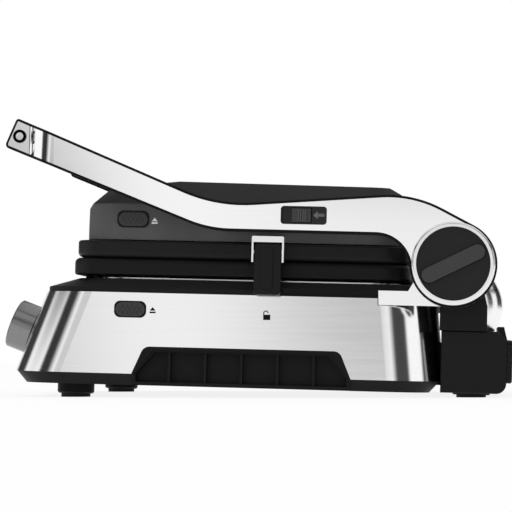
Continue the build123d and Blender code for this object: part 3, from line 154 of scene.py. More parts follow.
def mapped(tree, value, given, made=(0.0, 1.0)):
    """Takes a value from one span to another and holds it inside that."""
    node = tree.nodes.new("ShaderNodeMapRange")
    node.inputs["From Min"].default_value = given[0]
    node.inputs["From Max"].default_value = given[1]
    node.inputs["To Min"].default_value = made[0]
    node.inputs["To Max"].default_value = made[1]
    tree.links.new(value, node.inputs["Value"])
    return node.outputs["Result"]


def mixed(tree, factor, first, second, blend="MIX"):
    """Mixes two colours; each input is a socket to link, or a plain value."""
    node = tree.nodes.new("ShaderNodeMix")
    node.data_type = "RGBA"
    node.blend_type = blend
    for label, given in (("Factor", factor), ("A", first), ("B", second)):
        if isinstance(given, bpy.types.NodeSocket):
            tree.links.new(given, node.inputs[label])
        else:
            node.inputs[label].default_value = given
    return node.outputs["Result"]


def grey(level):
    return (level, level, level, 1.0)


def along(tree, source, axis):
    """One axis of a Texture Coordinate output."""
    parts = tree.nodes.new("ShaderNodeSeparateXYZ")
    tree.links.new(tree.nodes.new("ShaderNodeTexCoord").outputs[source], parts.inputs["Vector"])
    return parts.outputs[axis]


def brushed_grain_group():
    """Fine lines along the machine's depth, as a brushing belt leaves them."""
    group, given, made = new_group(
        "Brushed grain", [("Depth", 1.0, 0.0, 2.0)], ["Lines", "Streaks"])
    fine = noise(group, place_on_object(group, BRUSH_LINES), scale=1.0, detail=3.0, roughness=0.6)
    broad = noise(group, place_on_object(group, BRUSH_STREAKS), scale=1.0, detail=2.0)
    depth = group.nodes.new("ShaderNodeMath")
    depth.operation = "MULTIPLY"
    group.links.new(fine, depth.inputs[0])
    group.links.new(given.outputs["Depth"], depth.inputs[1])
    group.links.new(depth.outputs["Value"], made.inputs["Lines"])
    group.links.new(broad, made.inputs["Streaks"])
    return group


def moulded_grain_group():
    """Spark-eroded grain of a moulded skin, with slow clouds of wear in it."""
    group, given, made = new_group(
        "Moulded grain", [("Grain size", 3200.0, 100.0, 9000.0)], ["Grain", "Clouds"])
    vector = place_on_object(group, EVEN)
    grain = group.nodes.new("ShaderNodeTexNoise")
    grain.inputs["Detail"].default_value = 2.0
    group.links.new(vector, grain.inputs["Vector"])
    group.links.new(given.outputs["Grain size"], grain.inputs["Scale"])
    clouds = noise(group, vector, CLOUD_SCALE, detail=3.0)
    group.links.new(grain.outputs["Fac"], made.inputs["Grain"])
    group.links.new(clouds, made.inputs["Clouds"])
    return group


def shared_group(name):
    makers = {"Brushed grain": brushed_grain_group, "Moulded grain": moulded_grain_group}
    return bpy.data.node_groups.get(name) or makers[name]()


# Materials

STRIP_BLACK = (0.012, 0.012, 0.013, 1.0)
PAINTED_SHADE_FACING = (0.3, 0.8)
HIGHLIGHT_LEVEL = 0.045
COAT_ROUGHNESS = 0.06
COATING_SPECULAR = 0.16

# Where a noise's useful values lie, for its tint and for its roughness
TINT_STOPS = (0.32, 0.68)
ROUGHNESS_STOPS = (0.3, 0.7)

# A tint runs between two shares of a piece's colour, and a roughness between two steps from its own
CLOUD_TINT = (0.86, 1.16)
STREAK_TINT = (0.985, 1.015)
KNOB_TINT = (0.95, 1.05)
CLOUD_ROUGHNESS = (-0.05, 0.07)
PEEL_ROUGHNESS = (-0.06, 0.06)
KNOB_ROUGHNESS = (-0.04, 0.05)

GRAIN_HEIGHT = 0.06 * MM
LINE_HEIGHT = 0.03 * MM
LINE_STRENGTH = 0.018
KNOB_LINE_STRENGTH = 0.06
PEEL_HEIGHT = 0.1 * MM
PEEL_STRENGTH = 0.25


def new_material(name, metallic, specular=0.5):
    material = bpy.data.materials.new(name)
    material.use_nodes = True
    shader = material.node_tree.nodes["Principled BSDF"]
    shader.inputs["Metallic"].default_value = metallic
    shader.inputs["Specular IOR Level"].default_value = specular
    return material, material.node_tree, shader


def scaled(colour, factor):
    return [min(1.0, channel * factor) for channel in colour]


def tinted(tree, mask, colour, shares):
    """Runs between two shares of a colour along a mask."""
    ramp = tree.nodes.new("ShaderNodeValToRGB")
    for stop, place, share in zip(ramp.color_ramp.elements, TINT_STOPS, shares):
        stop.position = place
        stop.color = (*scaled(colour, share), 1.0)
    tree.links.new(mask, ramp.inputs["Fac"])
    return ramp.outputs["Color"]


def roughened(tree, shader, mask, roughness, steps):
    """Runs between two steps from a roughness along a mask."""
    sheen = mapped(tree, mask, ROUGHNESS_STOPS, (roughness + steps[0], roughness + steps[1]))
    tree.links.new(sheen, shader.inputs["Roughness"])


def bumped(tree, shader, height, strength, distance):
    bump = tree.nodes.new("ShaderNodeBump")
    bump.inputs["Strength"].default_value = strength
    bump.inputs["Distance"].default_value = distance
    tree.links.new(height, bump.inputs["Height"])
    tree.links.new(bump.outputs["Normal"], shader.inputs["Normal"])


def painted_shade_on_top(tree, colour, share):
    """Leaves the sides of a piece as they are and darkens what faces up in its own frame, as painted shade.
    """
    return mixed(tree, mapped(tree, along(tree, "Normal", "Z"), PAINTED_SHADE_FACING), colour, grey(share), "MULTIPLY")


def painted_highlight_when_proud(tree, colour, span, level):
    """Lightens what stands furthest out to the side of a raised bar, as a painted highlight."""
    return mixed(tree, mapped(tree, along(tree, "Object", "X"), span), colour, grey(level))


def moulded_plastic(name, colour, roughness, grain_size, grain_depth, specular, coat=0.0, top_painted_shade=1.0,
                    highlight_span=None):
    material, tree, shader = new_material(name, 0.0, specular)
    grain = tree.nodes.new("ShaderNodeGroup")
    grain.node_tree = shared_group("Moulded grain")
    grain.inputs["Grain size"].default_value = grain_size
    tint = tinted(tree, grain.outputs["Clouds"], colour, CLOUD_TINT)
    # Painted shade: what faces up is darkened by its facing
    if top_painted_shade < 1.0:
        tint = painted_shade_on_top(tree, tint, top_painted_shade)
    # Painted highlight: the outermost part of a raised bar is lightened
    if highlight_span is not None:
        tint = painted_highlight_when_proud(tree, tint, highlight_span, HIGHLIGHT_LEVEL)
    tree.links.new(tint, shader.inputs["Base Color"])
    roughened(tree, shader, grain.outputs["Clouds"], roughness, CLOUD_ROUGHNESS)
    bumped(tree, shader, grain.outputs["Grain"], grain_depth, GRAIN_HEIGHT)
    if coat > 0.0:
        shader.inputs["Coat Weight"].default_value = coat
        shader.inputs["Coat Roughness"].default_value = COAT_ROUGHNESS
    return material


def blackened_strip(tree, colour, end_y):
    """Blackens the strip of a bracket that runs ahead of a line across the machine."""
    ahead = tree.nodes.new("ShaderNodeMath")
    ahead.operation = "LESS_THAN"
    ahead.inputs[1].default_value = end_y
    tree.links.new(along(tree, "Object", "Y"), ahead.inputs[0])
    return mixed(tree, ahead.outputs["Value"], colour, STRIP_BLACK)


def brushed_metal(name, colour, roughness, line_depth, streak, dark_strip_end_y=None):
    material, tree, shader = new_material(name, 1.0)
    grain = tree.nodes.new("ShaderNodeGroup")
    grain.node_tree = shared_group("Brushed grain")
    grain.inputs["Depth"].default_value = line_depth
    tint = tinted(tree, grain.outputs["Streaks"], colour, STREAK_TINT)
    # The bracket's strip ahead of a line is made near black, by its place along the machine
    if dark_strip_end_y is not None:
        tint = blackened_strip(tree, tint, dark_strip_end_y)
    tree.links.new(tint, shader.inputs["Base Color"])
    roughened(tree, shader, grain.outputs["Streaks"], roughness, (-streak, streak))
    bumped(tree, shader, grain.outputs["Lines"], LINE_STRENGTH, LINE_HEIGHT)
    return material


def coated_casting(name, colour, roughness, speckle):
    """Non-stick coat over a cast plate: a fine speckle with a soft orange-peel skin."""
    material, tree, shader = new_material(name, 0.0, COATING_SPECULAR)
    vector = place_on_object(tree, EVEN)
    specks = noise(tree, vector, SPECK_SCALE, detail=2.0)
    peel = noise(tree, vector, PEEL_SCALE, detail=3.0)
    tint = tinted(tree, specks, colour, (1.0 - speckle, 1.0 + speckle))
    tree.links.new(tint, shader.inputs["Base Color"])
    roughened(tree, shader, peel, roughness, PEEL_ROUGHNESS)
    bumped(tree, shader, peel, PEEL_STRENGTH, PEEL_HEIGHT)
    return material


def turned_metal(name, colour, roughness):
    """Metal of the front knobs, with fine lines along their own axis."""
    material, tree, shader = new_material(name, 1.0)
    lines = noise(tree, place_on_object(tree, KNOB_LINES), scale=1.0, detail=2.0)
    tint = tinted(tree, lines, colour, KNOB_TINT)
    tree.links.new(tint, shader.inputs["Base Color"])
    roughened(tree, shader, lines, roughness, KNOB_ROUGHNESS)
    bumped(tree, shader, lines, KNOB_LINE_STRENGTH, LINE_HEIGHT)
    return material


def dress(names, material):
    for name in names:
        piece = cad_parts[name]
        piece.data.materials.clear()
        piece.data.materials.append(material)


def dress_all(table, make, finish, extras):
    """Makes each finish of a table and puts it on its pieces."""
    for name, row in table.items():
        surface = {key: value for key, value in row.items() if key not in ("nodes", "colour", "shade")}
        colour = scaled(getattr(finish, row["colour"]), row["shade"])
        dress(row["nodes"], make(name, colour, **surface, **extras.get(name, {})))


# Settings that a user would change

def colour_property(name, description, default):
    return bpy.props.FloatVectorProperty(
        name=name, description=description, default=default, size=3, min=0.0, max=1.0, subtype="COLOR")


class GrillFinishSettings(bpy.types.PropertyGroup):
    black_plastic: colour_property("Black plastic", "Colour of the tub, feet and arm carriers",
                                   (0.006, 0.006, 0.0066))
    lid_plastic: colour_property("Lid plastic", "Colour of the lid housing", (0.085, 0.085, 0.087))
    grip_plastic: colour_property("Grip plastic", "Colour of the handle grip", (0.016, 0.016, 0.017))
    button_plastic: colour_property("Button plastic", "Colour of the release buttons and the slider",
                                    (0.03, 0.03, 0.031))
    steel: colour_property("Steel", "Colour of the wrap, the arms and the barrel", (0.955, 0.955, 0.955))
    bracket_steel: colour_property("Bracket steel", "Colour of the hinge and latch brackets",
                                   (0.93, 0.93, 0.93))
    knob_metal: colour_property("Knob metal", "Colour of the front knobs", (0.25, 0.25, 0.255))
    plate_coat: colour_property("Plate coat", "Colour of the cooking plates' coat", (0.010, 0.010, 0.0105))
    rubber: colour_property("Rubber", "Colour of the foot pads and the cord gland", (0.008, 0.008, 0.0085))


class GrillPrintSettings(bpy.types.PropertyGroup):
    icon_width: bpy.props.FloatProperty(
        name="Icon width", description="Width of the release icons", default=4.8 * MM,
        min=2 * MM, max=9 * MM, unit="LENGTH")
    lock_width: bpy.props.FloatProperty(
        name="Padlock width", description="Width of the open padlock beside the latch", default=5.6 * MM,
        min=2 * MM, max=9 * MM, unit="LENGTH")
    arrow_length: bpy.props.FloatProperty(
        name="Arrow length", description="Length of the arrow beside the slider", default=9.6 * MM,
        min=4 * MM, max=11 * MM, unit="LENGTH")
    ink_thickness: bpy.props.FloatProperty(
        name="Ink thickness", description="How far the printed icons stand proud", default=0.12 * MM,
        min=0.02 * MM, max=0.3 * MM, unit="LENGTH")
    rim_thickness: bpy.props.FloatProperty(
        name="Rim thickness", description="How thick the rims and the slider's ridges are",
        default=0.8 * MM, min=0.3 * MM, max=1.2 * MM, unit="LENGTH")
    button_rim_length: bpy.props.FloatProperty(
        name="Button rim length", description="Length of the rim round a release button", default=25.4 * MM,
        min=24.4 * MM, max=28 * MM, unit="LENGTH")
    button_rim_height: bpy.props.FloatProperty(
        name="Button rim height", description="Height of the rim round a release button", default=13.2 * MM,
        min=12.4 * MM, max=15 * MM, unit="LENGTH")
    white_ink: colour_property("White ink", "Colour of the pale icons", (0.72, 0.72, 0.72))
    black_ink: colour_property("Black ink", "Colour of the dark icons", (0.012, 0.012, 0.012))


class GrillStageSettings(bpy.types.PropertyGroup):
    camera_place: bpy.props.FloatVectorProperty(
        name="Camera place", description="Where the camera stands", default=(2.0877, 0.1712, 0.035),
        size=3, subtype="TRANSLATION", unit="LENGTH")
    camera_aim: bpy.props.FloatVectorProperty(
        name="Camera aim", description="Direction in which the camera looks",
        default=(-1.0, -0.08622, 0.03946), size=3, subtype="DIRECTION")
    lens: bpy.props.FloatProperty(
        name="Lens", description="Focal length of the camera in millimetres", default=173.41,
        min=50.0, max=400.0)
    floor_half_size: bpy.props.FloatProperty(
        name="Floor half size", description="Half the side of the floor", default=6.0, min=2.0, max=20.0,
        unit="LENGTH")
    plain_light: bpy.props.FloatProperty(
        name="Plain light", description="Level of the even light all round", default=0.86, min=0.0,
        max=2.0)
    lamp_power: bpy.props.FloatProperty(
        name="Lamp power", description="Power of the soft lamp above the front corner", default=6.0,
        min=0.0, max=60.0, unit="POWER")


# Finishes

LID_TOP_PAINTED_SHADE = 0.03
KNOB_BAR_RISE = 1.2 * MM
KNOB_BAR_EDGE = 0.2 * MM
BRACKET_STRIP = 74.3 * MM
# Painted shade: share of the plate coat given to the lower plate
LOWER_COAT_PAINTED_SHADE = 0.6
GLASS_SHADE = 0.7


class GRILL_OT_plastic_pieces(bpy.types.Operator):
    """Gives the moulded pieces their plastics"""

    bl_idname = "grill.plastic_pieces"
    bl_label = "Plastic Pieces"

    def execute(self, context):
        knob_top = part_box("knob_face")[1].x
        extras = {
            # Painted shade on the lid's top, darkened by its facing
            "lid plastic": {"top_painted_shade": LID_TOP_PAINTED_SHADE},
            # Painted highlight along the knob face's raised bar
            "knob face plastic": {"highlight_span": (knob_top - KNOB_BAR_RISE, knob_top - KNOB_BAR_EDGE)},
        }
        dress_all(PLASTICS, moulded_plastic, context.scene.grill_finish, extras)
        return {"FINISHED"}


class GRILL_OT_steel_pieces(bpy.types.Operator):
    """Gives the wrap, arms, barrel, brackets and screws their metals"""

    bl_idname = "grill.steel_pieces"
    bl_label = "Steel Pieces"

    def execute(self, context):
        # Where the bracket's near-black strip ends
        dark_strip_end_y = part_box("hinge_bracket_r")[0].y + BRACKET_STRIP
        extras = {"hinge bracket steel": {"dark_strip_end_y": dark_strip_end_y}}
        dress_all(STEELS, brushed_metal, context.scene.grill_finish, extras)
        return {"FINISHED"}


class GRILL_OT_cooking_plates(bpy.types.Operator):
    """Gives the two cooking plates their non-stick coat"""

    bl_idname = "grill.cooking_plates"
    bl_label = "Cooking Plates"

    def execute(self, context):
        coat = context.scene.grill_finish.plate_coat
        dress(["upper_plate"], coated_casting("upper plate coat", coat, roughness=0.46, speckle=0.18))
        # Painted shade: the lower plate gets the same coat, darkened
        shaded_lower_coat = scaled(coat, LOWER_COAT_PAINTED_SHADE)
        dress(["lower_plate"], coated_casting("lower plate coat", shaded_lower_coat, roughness=0.48, speckle=0.18))
        return {"FINISHED"}


class GRILL_OT_front_controls(bpy.types.Operator):
    """Gives the front knobs their turned metal and the display its glass"""

    bl_idname = "grill.front_controls"
    bl_label = "Front Controls"

    def execute(self, context):
        finish = context.scene.grill_finish
        dress(["front_knob_r", "front_knob_l"], turned_metal("knob metal", finish.knob_metal, roughness=0.24))
        glass = moulded_plastic("display glass", scaled(finish.black_plastic, GLASS_SHADE), roughness=0.08,
                                grain_size=500.0, grain_depth=0.02, specular=0.5, coat=1.0)
        dress(["display_window"], glass)
        return {"FINISHED"}


class GRILL_OT_rubber_pieces(bpy.types.Operator):
    """Gives the foot pads and the cord gland their rubber"""

    bl_idname = "grill.rubber_pieces"
    bl_label = "Rubber Pieces"

    def execute(self, context):
        rubber = context.scene.grill_finish.rubber
        dress(RUBBER_NODES, moulded_plastic("pad rubber", rubber, roughness=0.75, grain_size=1800.0,
                                            grain_depth=0.5, specular=0.3))
        return {"FINISHED"}


# Small details, drawn in the side view: first number to the rear, second number up

ARC_STEPS = 14
CORNER_STEPS = 8


def raise_faces(shape, faces, thickness):
    grown = bmesh.ops.extrude_face_region(shape, geom=faces)
    raised = [item for item in grown["geom"] if isinstance(item, bmesh.types.BMVert)]
    bmesh.ops.translate(shape, verts=raised, vec=(thickness, 0.0, 0.0))


def raised_shape(shape, corners, thickness):
    face = shape.faces.new([shape.verts.new((0.0, rear, up)) for rear, up in corners])
    raise_faces(shape, [face], thickness)


def raised_bar(shape, rear_from, rear_to, up_from, up_to, thickness):
    raised_shape(shape, [(rear_from, up_from), (rear_to, up_from), (rear_to, up_to), (rear_from, up_to)],
                 thickness)


def raised_arc(shape, centre, radius, width, sweep, thickness):
    section = [shape.verts.new((height, centre[0] + radius + across, centre[1]))
               for height, across in ((0.0, -width / 2), (thickness, -width / 2), (thickness, width / 2),
                                      (0.0, width / 2))]
    face = shape.faces.new(section)
    pivot = Vector((0.0, centre[0], centre[1]))
    bmesh.ops.spin(shape, geom=[face], cent=pivot, axis=(1.0, 0.0, 0.0), angle=sweep, steps=ARC_STEPS,
                   use_merge=False, use_duplicate=False)


def rounded_path(corners):
    """Outline with its corners rounded: each corner is given as rear, up and radius."""
    path = []
    for index, (rear, up, radius) in enumerate(corners):
        here = Vector((rear, up))
        if radius == 0.0:
            path.append(here)
            continue
        before = (Vector(corners[index - 1][:2]) - here).normalized()
        after = (Vector(corners[(index + 1) % len(corners)][:2]) - here).normalized()
        half = before.angle(after) / 2
        centre = here + (before + after).normalized() * radius / sin(half)
        start = here + before * radius / tan(half) - centre
        end = here + after * radius / tan(half) - centre
        for step in range(CORNER_STEPS + 1):
            path.append(centre + start.lerp(end, step / CORNER_STEPS).normalized() * radius)
    return path


def rounded_box(length, height, radius):
    return rounded_path([(-length / 2, -height / 2, radius), (length / 2, -height / 2, radius),
                         (length / 2, height / 2, radius), (-length / 2, height / 2, radius)])


def raised_ring(shape, outer, inner, thickness):
    edges = []
    for path in (outer, inner):
        corners = [shape.verts.new((0.0, rear, up)) for rear, up in path]
        edges += [shape.edges.new((corners[index - 1], corner)) for index, corner in enumerate(corners)]
    raise_faces(shape, bmesh.ops.bridge_loops(shape, edges=edges)["faces"], thickness)


def mesh_piece(name, shape, material):
    mesh = bpy.data.meshes.new(name)
    shape.to_mesh(mesh)
    shape.free()
    mesh.materials.append(material)
    piece = bpy.data.objects.new(name, mesh)
    bpy.context.scene.collection.objects.link(piece)
    return piece


def small_detail(name, shape, place, material, body, lean=0.0, tilt=0.0, mirror_x=None):
    """Puts a drawn shape in its place, leaning with the wrap, tilted with the machine or mirrored."""
    turn = Matrix.Translation(place) @ Matrix.Rotation(tilt, 4, "X") @ Matrix.Rotation(lean, 4, "Y")
    if mirror_x is not None:
        flip = Matrix.Diagonal((-1.0, 1.0, 1.0, 1.0))
        turn = Matrix.Translation((2 * mirror_x, 0.0, 0.0)) @ flip @ turn
    bmesh.ops.transform(shape, matrix=turn, verts=shape.verts)
    bmesh.ops.recalc_face_normals(shape, faces=shape.faces)
    detail = mesh_piece(name, shape, material)
    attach(detail, body)


def side_face(node, proud):
    low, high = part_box(node)
    middle = (low + high) / 2
    return Vector((high.x - proud, middle.y, middle.z))


def eject_icon(shape, width, thickness):
    """A triangle over a bar."""
    half = width / 2
    bar = ICON_BAR * width
    raised_bar(shape, -half, half, -half, -half + bar, thickness)
    triangle_foot = -half + ICON_TRIANGLE_FOOT * bar
    raised_shape(shape, [(-half, triangle_foot), (half, triangle_foot), (0.0, half)], thickness)


MACHINE_TILT = -radians(1.48)
WRAP_LEAN = -radians(2.69)
# Shades of an ink or a plastic, against the setting that colours it
DARK_INK_SHADE = 0.4
DIM_INK_SHADE = 0.17
# Painted highlight: the slider's ridges are its own plastic made lighter
RIDGE_PAINTED_HIGHLIGHT = 3.0
# Release icon: its bar as a share of its width, and its triangle's foot in bars above the icon's foot
ICON_BAR = 0.26
ICON_TRIANGLE_FOOT = 1.6
BUTTON_PROUD = 1.3 * MM
BUTTON_LENGTH = 23.4 * MM
BUTTON_HEIGHT = 11.2 * MM
BUTTON_CLEARANCE = 0.15 * MM
RIM_SUNK = 0.2 * MM
# Corner radii of a button rim, as shares of its height and its hole's: just under half is a round end
RIM_CORNER = 0.36
HOLE_CORNER = 0.499
# Side and corner radius of a washer's outline and hole, as shares of the screw head's width
WASHER_OUTER = (1.15, 0.5745)
WASHER_INNER = (0.65, 0.3245)
WASHER_THICKNESS = 0.6 * MM
RIDGE_WIDTH = 0.6 * MM
RIDGE_INSET = 1.6 * MM
RIDGE_PLACES = (-2.6 * MM, -0.8 * MM, 1.0 * MM, 2.8 * MM)
LID_ICON_OFFSET = Vector((0.0, 17.0, -1.4)) * MM
BASE_ICON_OFFSET = Vector((0.0, 17.8, -0.8)) * MM
LOCK_OFFSET = Vector((0.1, 107.9, -5.2)) * MM


class GRILL_OT_release_icons(bpy.types.Operator):
    """Prints the release icon beside each plate button"""

    bl_idname = "grill.release_icons"
    bl_label = "Release Icons"

    def execute(self, context):
        prints = context.scene.grill_print
        pale = moulded_plastic("white ink", prints.white_ink, roughness=0.5, grain_size=4000.0,
                               grain_depth=0.1, specular=0.3)
        dark = moulded_plastic("black ink", scaled(prints.black_ink, DARK_INK_SHADE), roughness=0.5,
                               grain_size=4000.0, grain_depth=0.1, specular=0.1)
        for body, offset, ink, slot, lean in (("lid", LID_ICON_OFFSET, pale, "grey_plastic", 0.0),
                                              ("base", BASE_ICON_OFFSET, dark, "black_plastic", WRAP_LEAN)):
            shape = bmesh.new()
            eject_icon(shape, prints.icon_width, prints.ink_thickness)
            small_detail(body + "_release_icon", shape, side_face(body + "_button", BUTTON_PROUD) + offset,
                         ink, body, lean)
        return {"FINISHED"}


# Padlock, as shares of its width
LOCK_FOOT = -0.62
LOCK_SHOULDER = 0.12
LOCK_STEM = 0.14
LOCK_ARC_REAR = -0.12
LOCK_ARC_UP = 0.34
LOCK_ARC_R = 0.3
LOCK_STEM_FOOT = 0.10
LOCK_STEM_TOP = 0.36


class GRILL_OT_padlock_icon(bpy.types.Operator):
    """Prints the open padlock under the latch"""

    bl_idname = "grill.padlock_icon"
    bl_label = "Padlock Icon"

    def execute(self, context):
        prints = context.scene.grill_print
        width = prints.lock_width
        shape = bmesh.new()
        ink = prints.ink_thickness
        raised_bar(shape, -width / 2, width / 2, LOCK_FOOT * width, LOCK_SHOULDER * width, ink)
        stem = LOCK_STEM * width
        raised_arc(shape, (LOCK_ARC_REAR * width, LOCK_ARC_UP * width), LOCK_ARC_R * width, stem, pi, ink)
        stem_middle = (LOCK_ARC_REAR - LOCK_ARC_R) * width
        raised_bar(shape, stem_middle - stem / 2, stem_middle + stem / 2, LOCK_STEM_FOOT * width,
                   LOCK_STEM_TOP * width, ink)
        small_detail("padlock_icon", shape, side_face("base_button", BUTTON_PROUD) + LOCK_OFFSET,
                     bpy.data.materials["black ink"], "base", WRAP_LEAN)
        return {"FINISHED"}


# Arrow, as shares of its length
ARROW_HALF_HEAD = 0.32
ARROW_HEAD_END = -0.12
ARROW_HALF_SHAFT = 0.12
ARROW_SHAFT_START = -0.13
ARROW_SHAFT_END = 0.42


class GRILL_OT_slot_arrow(bpy.types.Operator):
    """Prints the arrow beside the slider, pointing to the front"""

    bl_idname = "grill.slot_arrow"
    bl_label = "Slot Arrow"

    def execute(self, context):
        prints = context.scene.grill_print
        length = prints.arrow_length
        low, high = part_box("switch_bezel")
        slider_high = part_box("slide_switch")[1]
        middle = Vector((high.x, (slider_high.y + high.y) / 2, (low.z + high.z) / 2))
        ink = prints.ink_thickness
        shape = bmesh.new()
        raised_shape(shape, [(-length / 2, 0.0), (ARROW_HEAD_END * length, -ARROW_HALF_HEAD * length),
                             (ARROW_HEAD_END * length, ARROW_HALF_HEAD * length)], ink)
        raised_bar(shape, ARROW_SHAFT_START * length, ARROW_SHAFT_END * length, -ARROW_HALF_SHAFT * length,
                   ARROW_HALF_SHAFT * length, ink)
        dim_ink = moulded_plastic("dim ink", scaled(prints.white_ink, DIM_INK_SHADE), roughness=0.5,
                                  grain_size=4000.0, grain_depth=0.1, specular=0.2)
        small_detail("slot_arrow", shape, middle, dim_ink, "arms")
        return {"FINISHED"}


class GRILL_OT_slider_ridges(bpy.types.Operator):
    """Adds the thumb ridges across the hinge-release slider"""

    bl_idname = "grill.slider_ridges"
    bl_label = "Slider Ridges"

    def execute(self, context):
        prints = context.scene.grill_print
        button_plastic = context.scene.grill_finish.button_plastic
        low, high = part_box("slide_switch")
        ridge_half = (high.z - low.z) / 2 - RIDGE_INSET
        # Painted highlight: the ridges are the slider's plastic, lightened
        ridge_highlighted_plastic = moulded_plastic("ridge plastic", scaled(button_plastic, RIDGE_PAINTED_HIGHLIGHT), roughness=0.36,
                                     grain_size=3600.0, grain_depth=0.2, specular=0.3)
        shape = bmesh.new()
        for rear in RIDGE_PLACES:
            raised_bar(shape, rear, rear + RIDGE_WIDTH, -ridge_half, ridge_half, prints.rim_thickness)
        small_detail("slider_ridges", shape, side_face("slide_switch", RIM_SUNK), ridge_highlighted_plastic, "slide_switch",
                     tilt=MACHINE_TILT)
        return {"FINISHED"}


# Vent rim, in millimetres from the middle of the vent's foot: rear, up and corner radius
RIM_OUTER = [(-86.2, 8.5, 0.0), (-77.0, 30.2, 7.0), (77.0, 30.2, 7.0), (86.2, 8.5, 0.0)]
RIM_INNER = [(84.2, 8.5, 0.0), (69.6, 27.4, 1.0), (-69.6, 27.4, 1.0), (-84.2, 8.5, 0.0)]
RIM_FOOT_UP = 8.5 * MM


class GRILL_OT_vent_rims(bpy.types.Operator):
    """Adds the black moulded rim round each side vent"""

    bl_idname = "grill.vent_rims"
    bl_label = "Vent Rims"

    def execute(self, context):
        prints = context.scene.grill_print
        rim_black = moulded_plastic("rim plastic", scaled(prints.black_ink, DARK_INK_SHADE), roughness=0.42,
                                    grain_size=3000.0, grain_depth=0.3, specular=0.16)
        wrap_low, wrap_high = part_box("steel_wrap")
        low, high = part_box("vent_grille_r")
        half = (high.y - low.y) / 2
        foot_x = wrap_high.x - RIM_SUNK + RIM_FOOT_UP * tan(-WRAP_LEAN)
        place = Vector((foot_x, (low.y + high.y) / 2, low.z + half * sin(-MACHINE_TILT)))
        outline = rounded_path(RIM_OUTER) + rounded_path(RIM_INNER)
        for side, mirror_x in (("r", None), ("l", (wrap_low.x + wrap_high.x) / 2)):
            shape = bmesh.new()
            raised_shape(shape, [point * MM for point in outline], prints.rim_thickness)
            small_detail("vent_rim_" + side, shape, place, rim_black, "base", WRAP_LEAN,
                         MACHINE_TILT, mirror_x)
        return {"FINISHED"}


class GRILL_OT_button_rims(bpy.types.Operator):
    """Adds the black rounded-rectangle rim round each release button"""

    bl_idname = "grill.button_rims"
    bl_label = "Button Rims"

    def execute(self, context):
        prints = context.scene.grill_print
        height = prints.button_rim_height
        outer = rounded_box(prints.button_rim_length, height, RIM_CORNER * height)
        hole_height = BUTTON_HEIGHT + 2 * BUTTON_CLEARANCE
        inner = rounded_box(BUTTON_LENGTH + 2 * BUTTON_CLEARANCE, hole_height, HOLE_CORNER * hole_height)
        for button, lean, body in (("lid_button", 0.0, "lid"), ("base_button", WRAP_LEAN, "base")):
            shape = bmesh.new()
            raised_ring(shape, outer, inner, prints.rim_thickness)
            small_detail(button + "_rim", shape, side_face(button, BUTTON_PROUD + RIM_SUNK),
                         bpy.data.materials["rim plastic"], body, lean, MACHINE_TILT)
        return {"FINISHED"}


class GRILL_OT_grip_washers(bpy.types.Operator):
    """Adds the dark washer under each grip screw"""

    bl_idname = "grill.grip_washers"
    bl_label = "Grip Washers"

    def execute(self, context):
        middle_x = sum(corner.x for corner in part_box("grip_bar")) / 2
        low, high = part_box("grip_screw_r")
        head = high.z - low.z
        outer, inner = (rounded_box(side * head, side * head, corner * head)
                        for side, corner in (WASHER_OUTER, WASHER_INNER))
        for side, mirror_x in (("r", None), ("l", middle_x)):
            shape = bmesh.new()
            raised_ring(shape, outer, inner, WASHER_THICKNESS)
            small_detail("grip_washer_" + side, shape, side_face("grip_screw_r", WASHER_THICKNESS),
                         bpy.data.materials["rim plastic"], "arms", mirror_x=mirror_x)
        return {"FINISHED"}


SCREW_RADIUS = 3.6 * MM
SCREW_TAPER = 0.8
SCREW_HEIGHT = 1.1 * MM
SCREW_SEGMENTS = 28
SCREW_SIDE_INSET = 40.0 * MM
SCREW_REAR_INSETS = (62.0 * MM, 286.0 * MM)


class GRILL_OT_underside_screws(bpy.types.Operator):
    """Adds the four screw heads under the base pan"""

    bl_idname = "grill.underside_screws"
    bl_label = "Underside Screws"

    def execute(self, context):
        low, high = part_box("bottom_pan")
        shape = bmesh.new()
        for inset in SCREW_REAR_INSETS:
            for side_x in (low.x + SCREW_SIDE_INSET, high.x - SCREW_SIDE_INSET):
                cone = bmesh.ops.create_cone(
                    shape, cap_ends=True, segments=SCREW_SEGMENTS, radius1=SCREW_RADIUS * SCREW_TAPER,
                    radius2=SCREW_RADIUS, depth=SCREW_HEIGHT)
                place = (side_x, high.y - inset, low.z - inset * MACHINE_TILT)
                bmesh.ops.translate(shape, verts=cone["verts"], vec=place)
        bmesh.ops.recalc_face_normals(shape, faces=shape.faces)
        screws = mesh_piece("underside_screws", shape, bpy.data.materials["heater steel"])
        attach(screws, "base")
        return {"FINISHED"}


# Studio

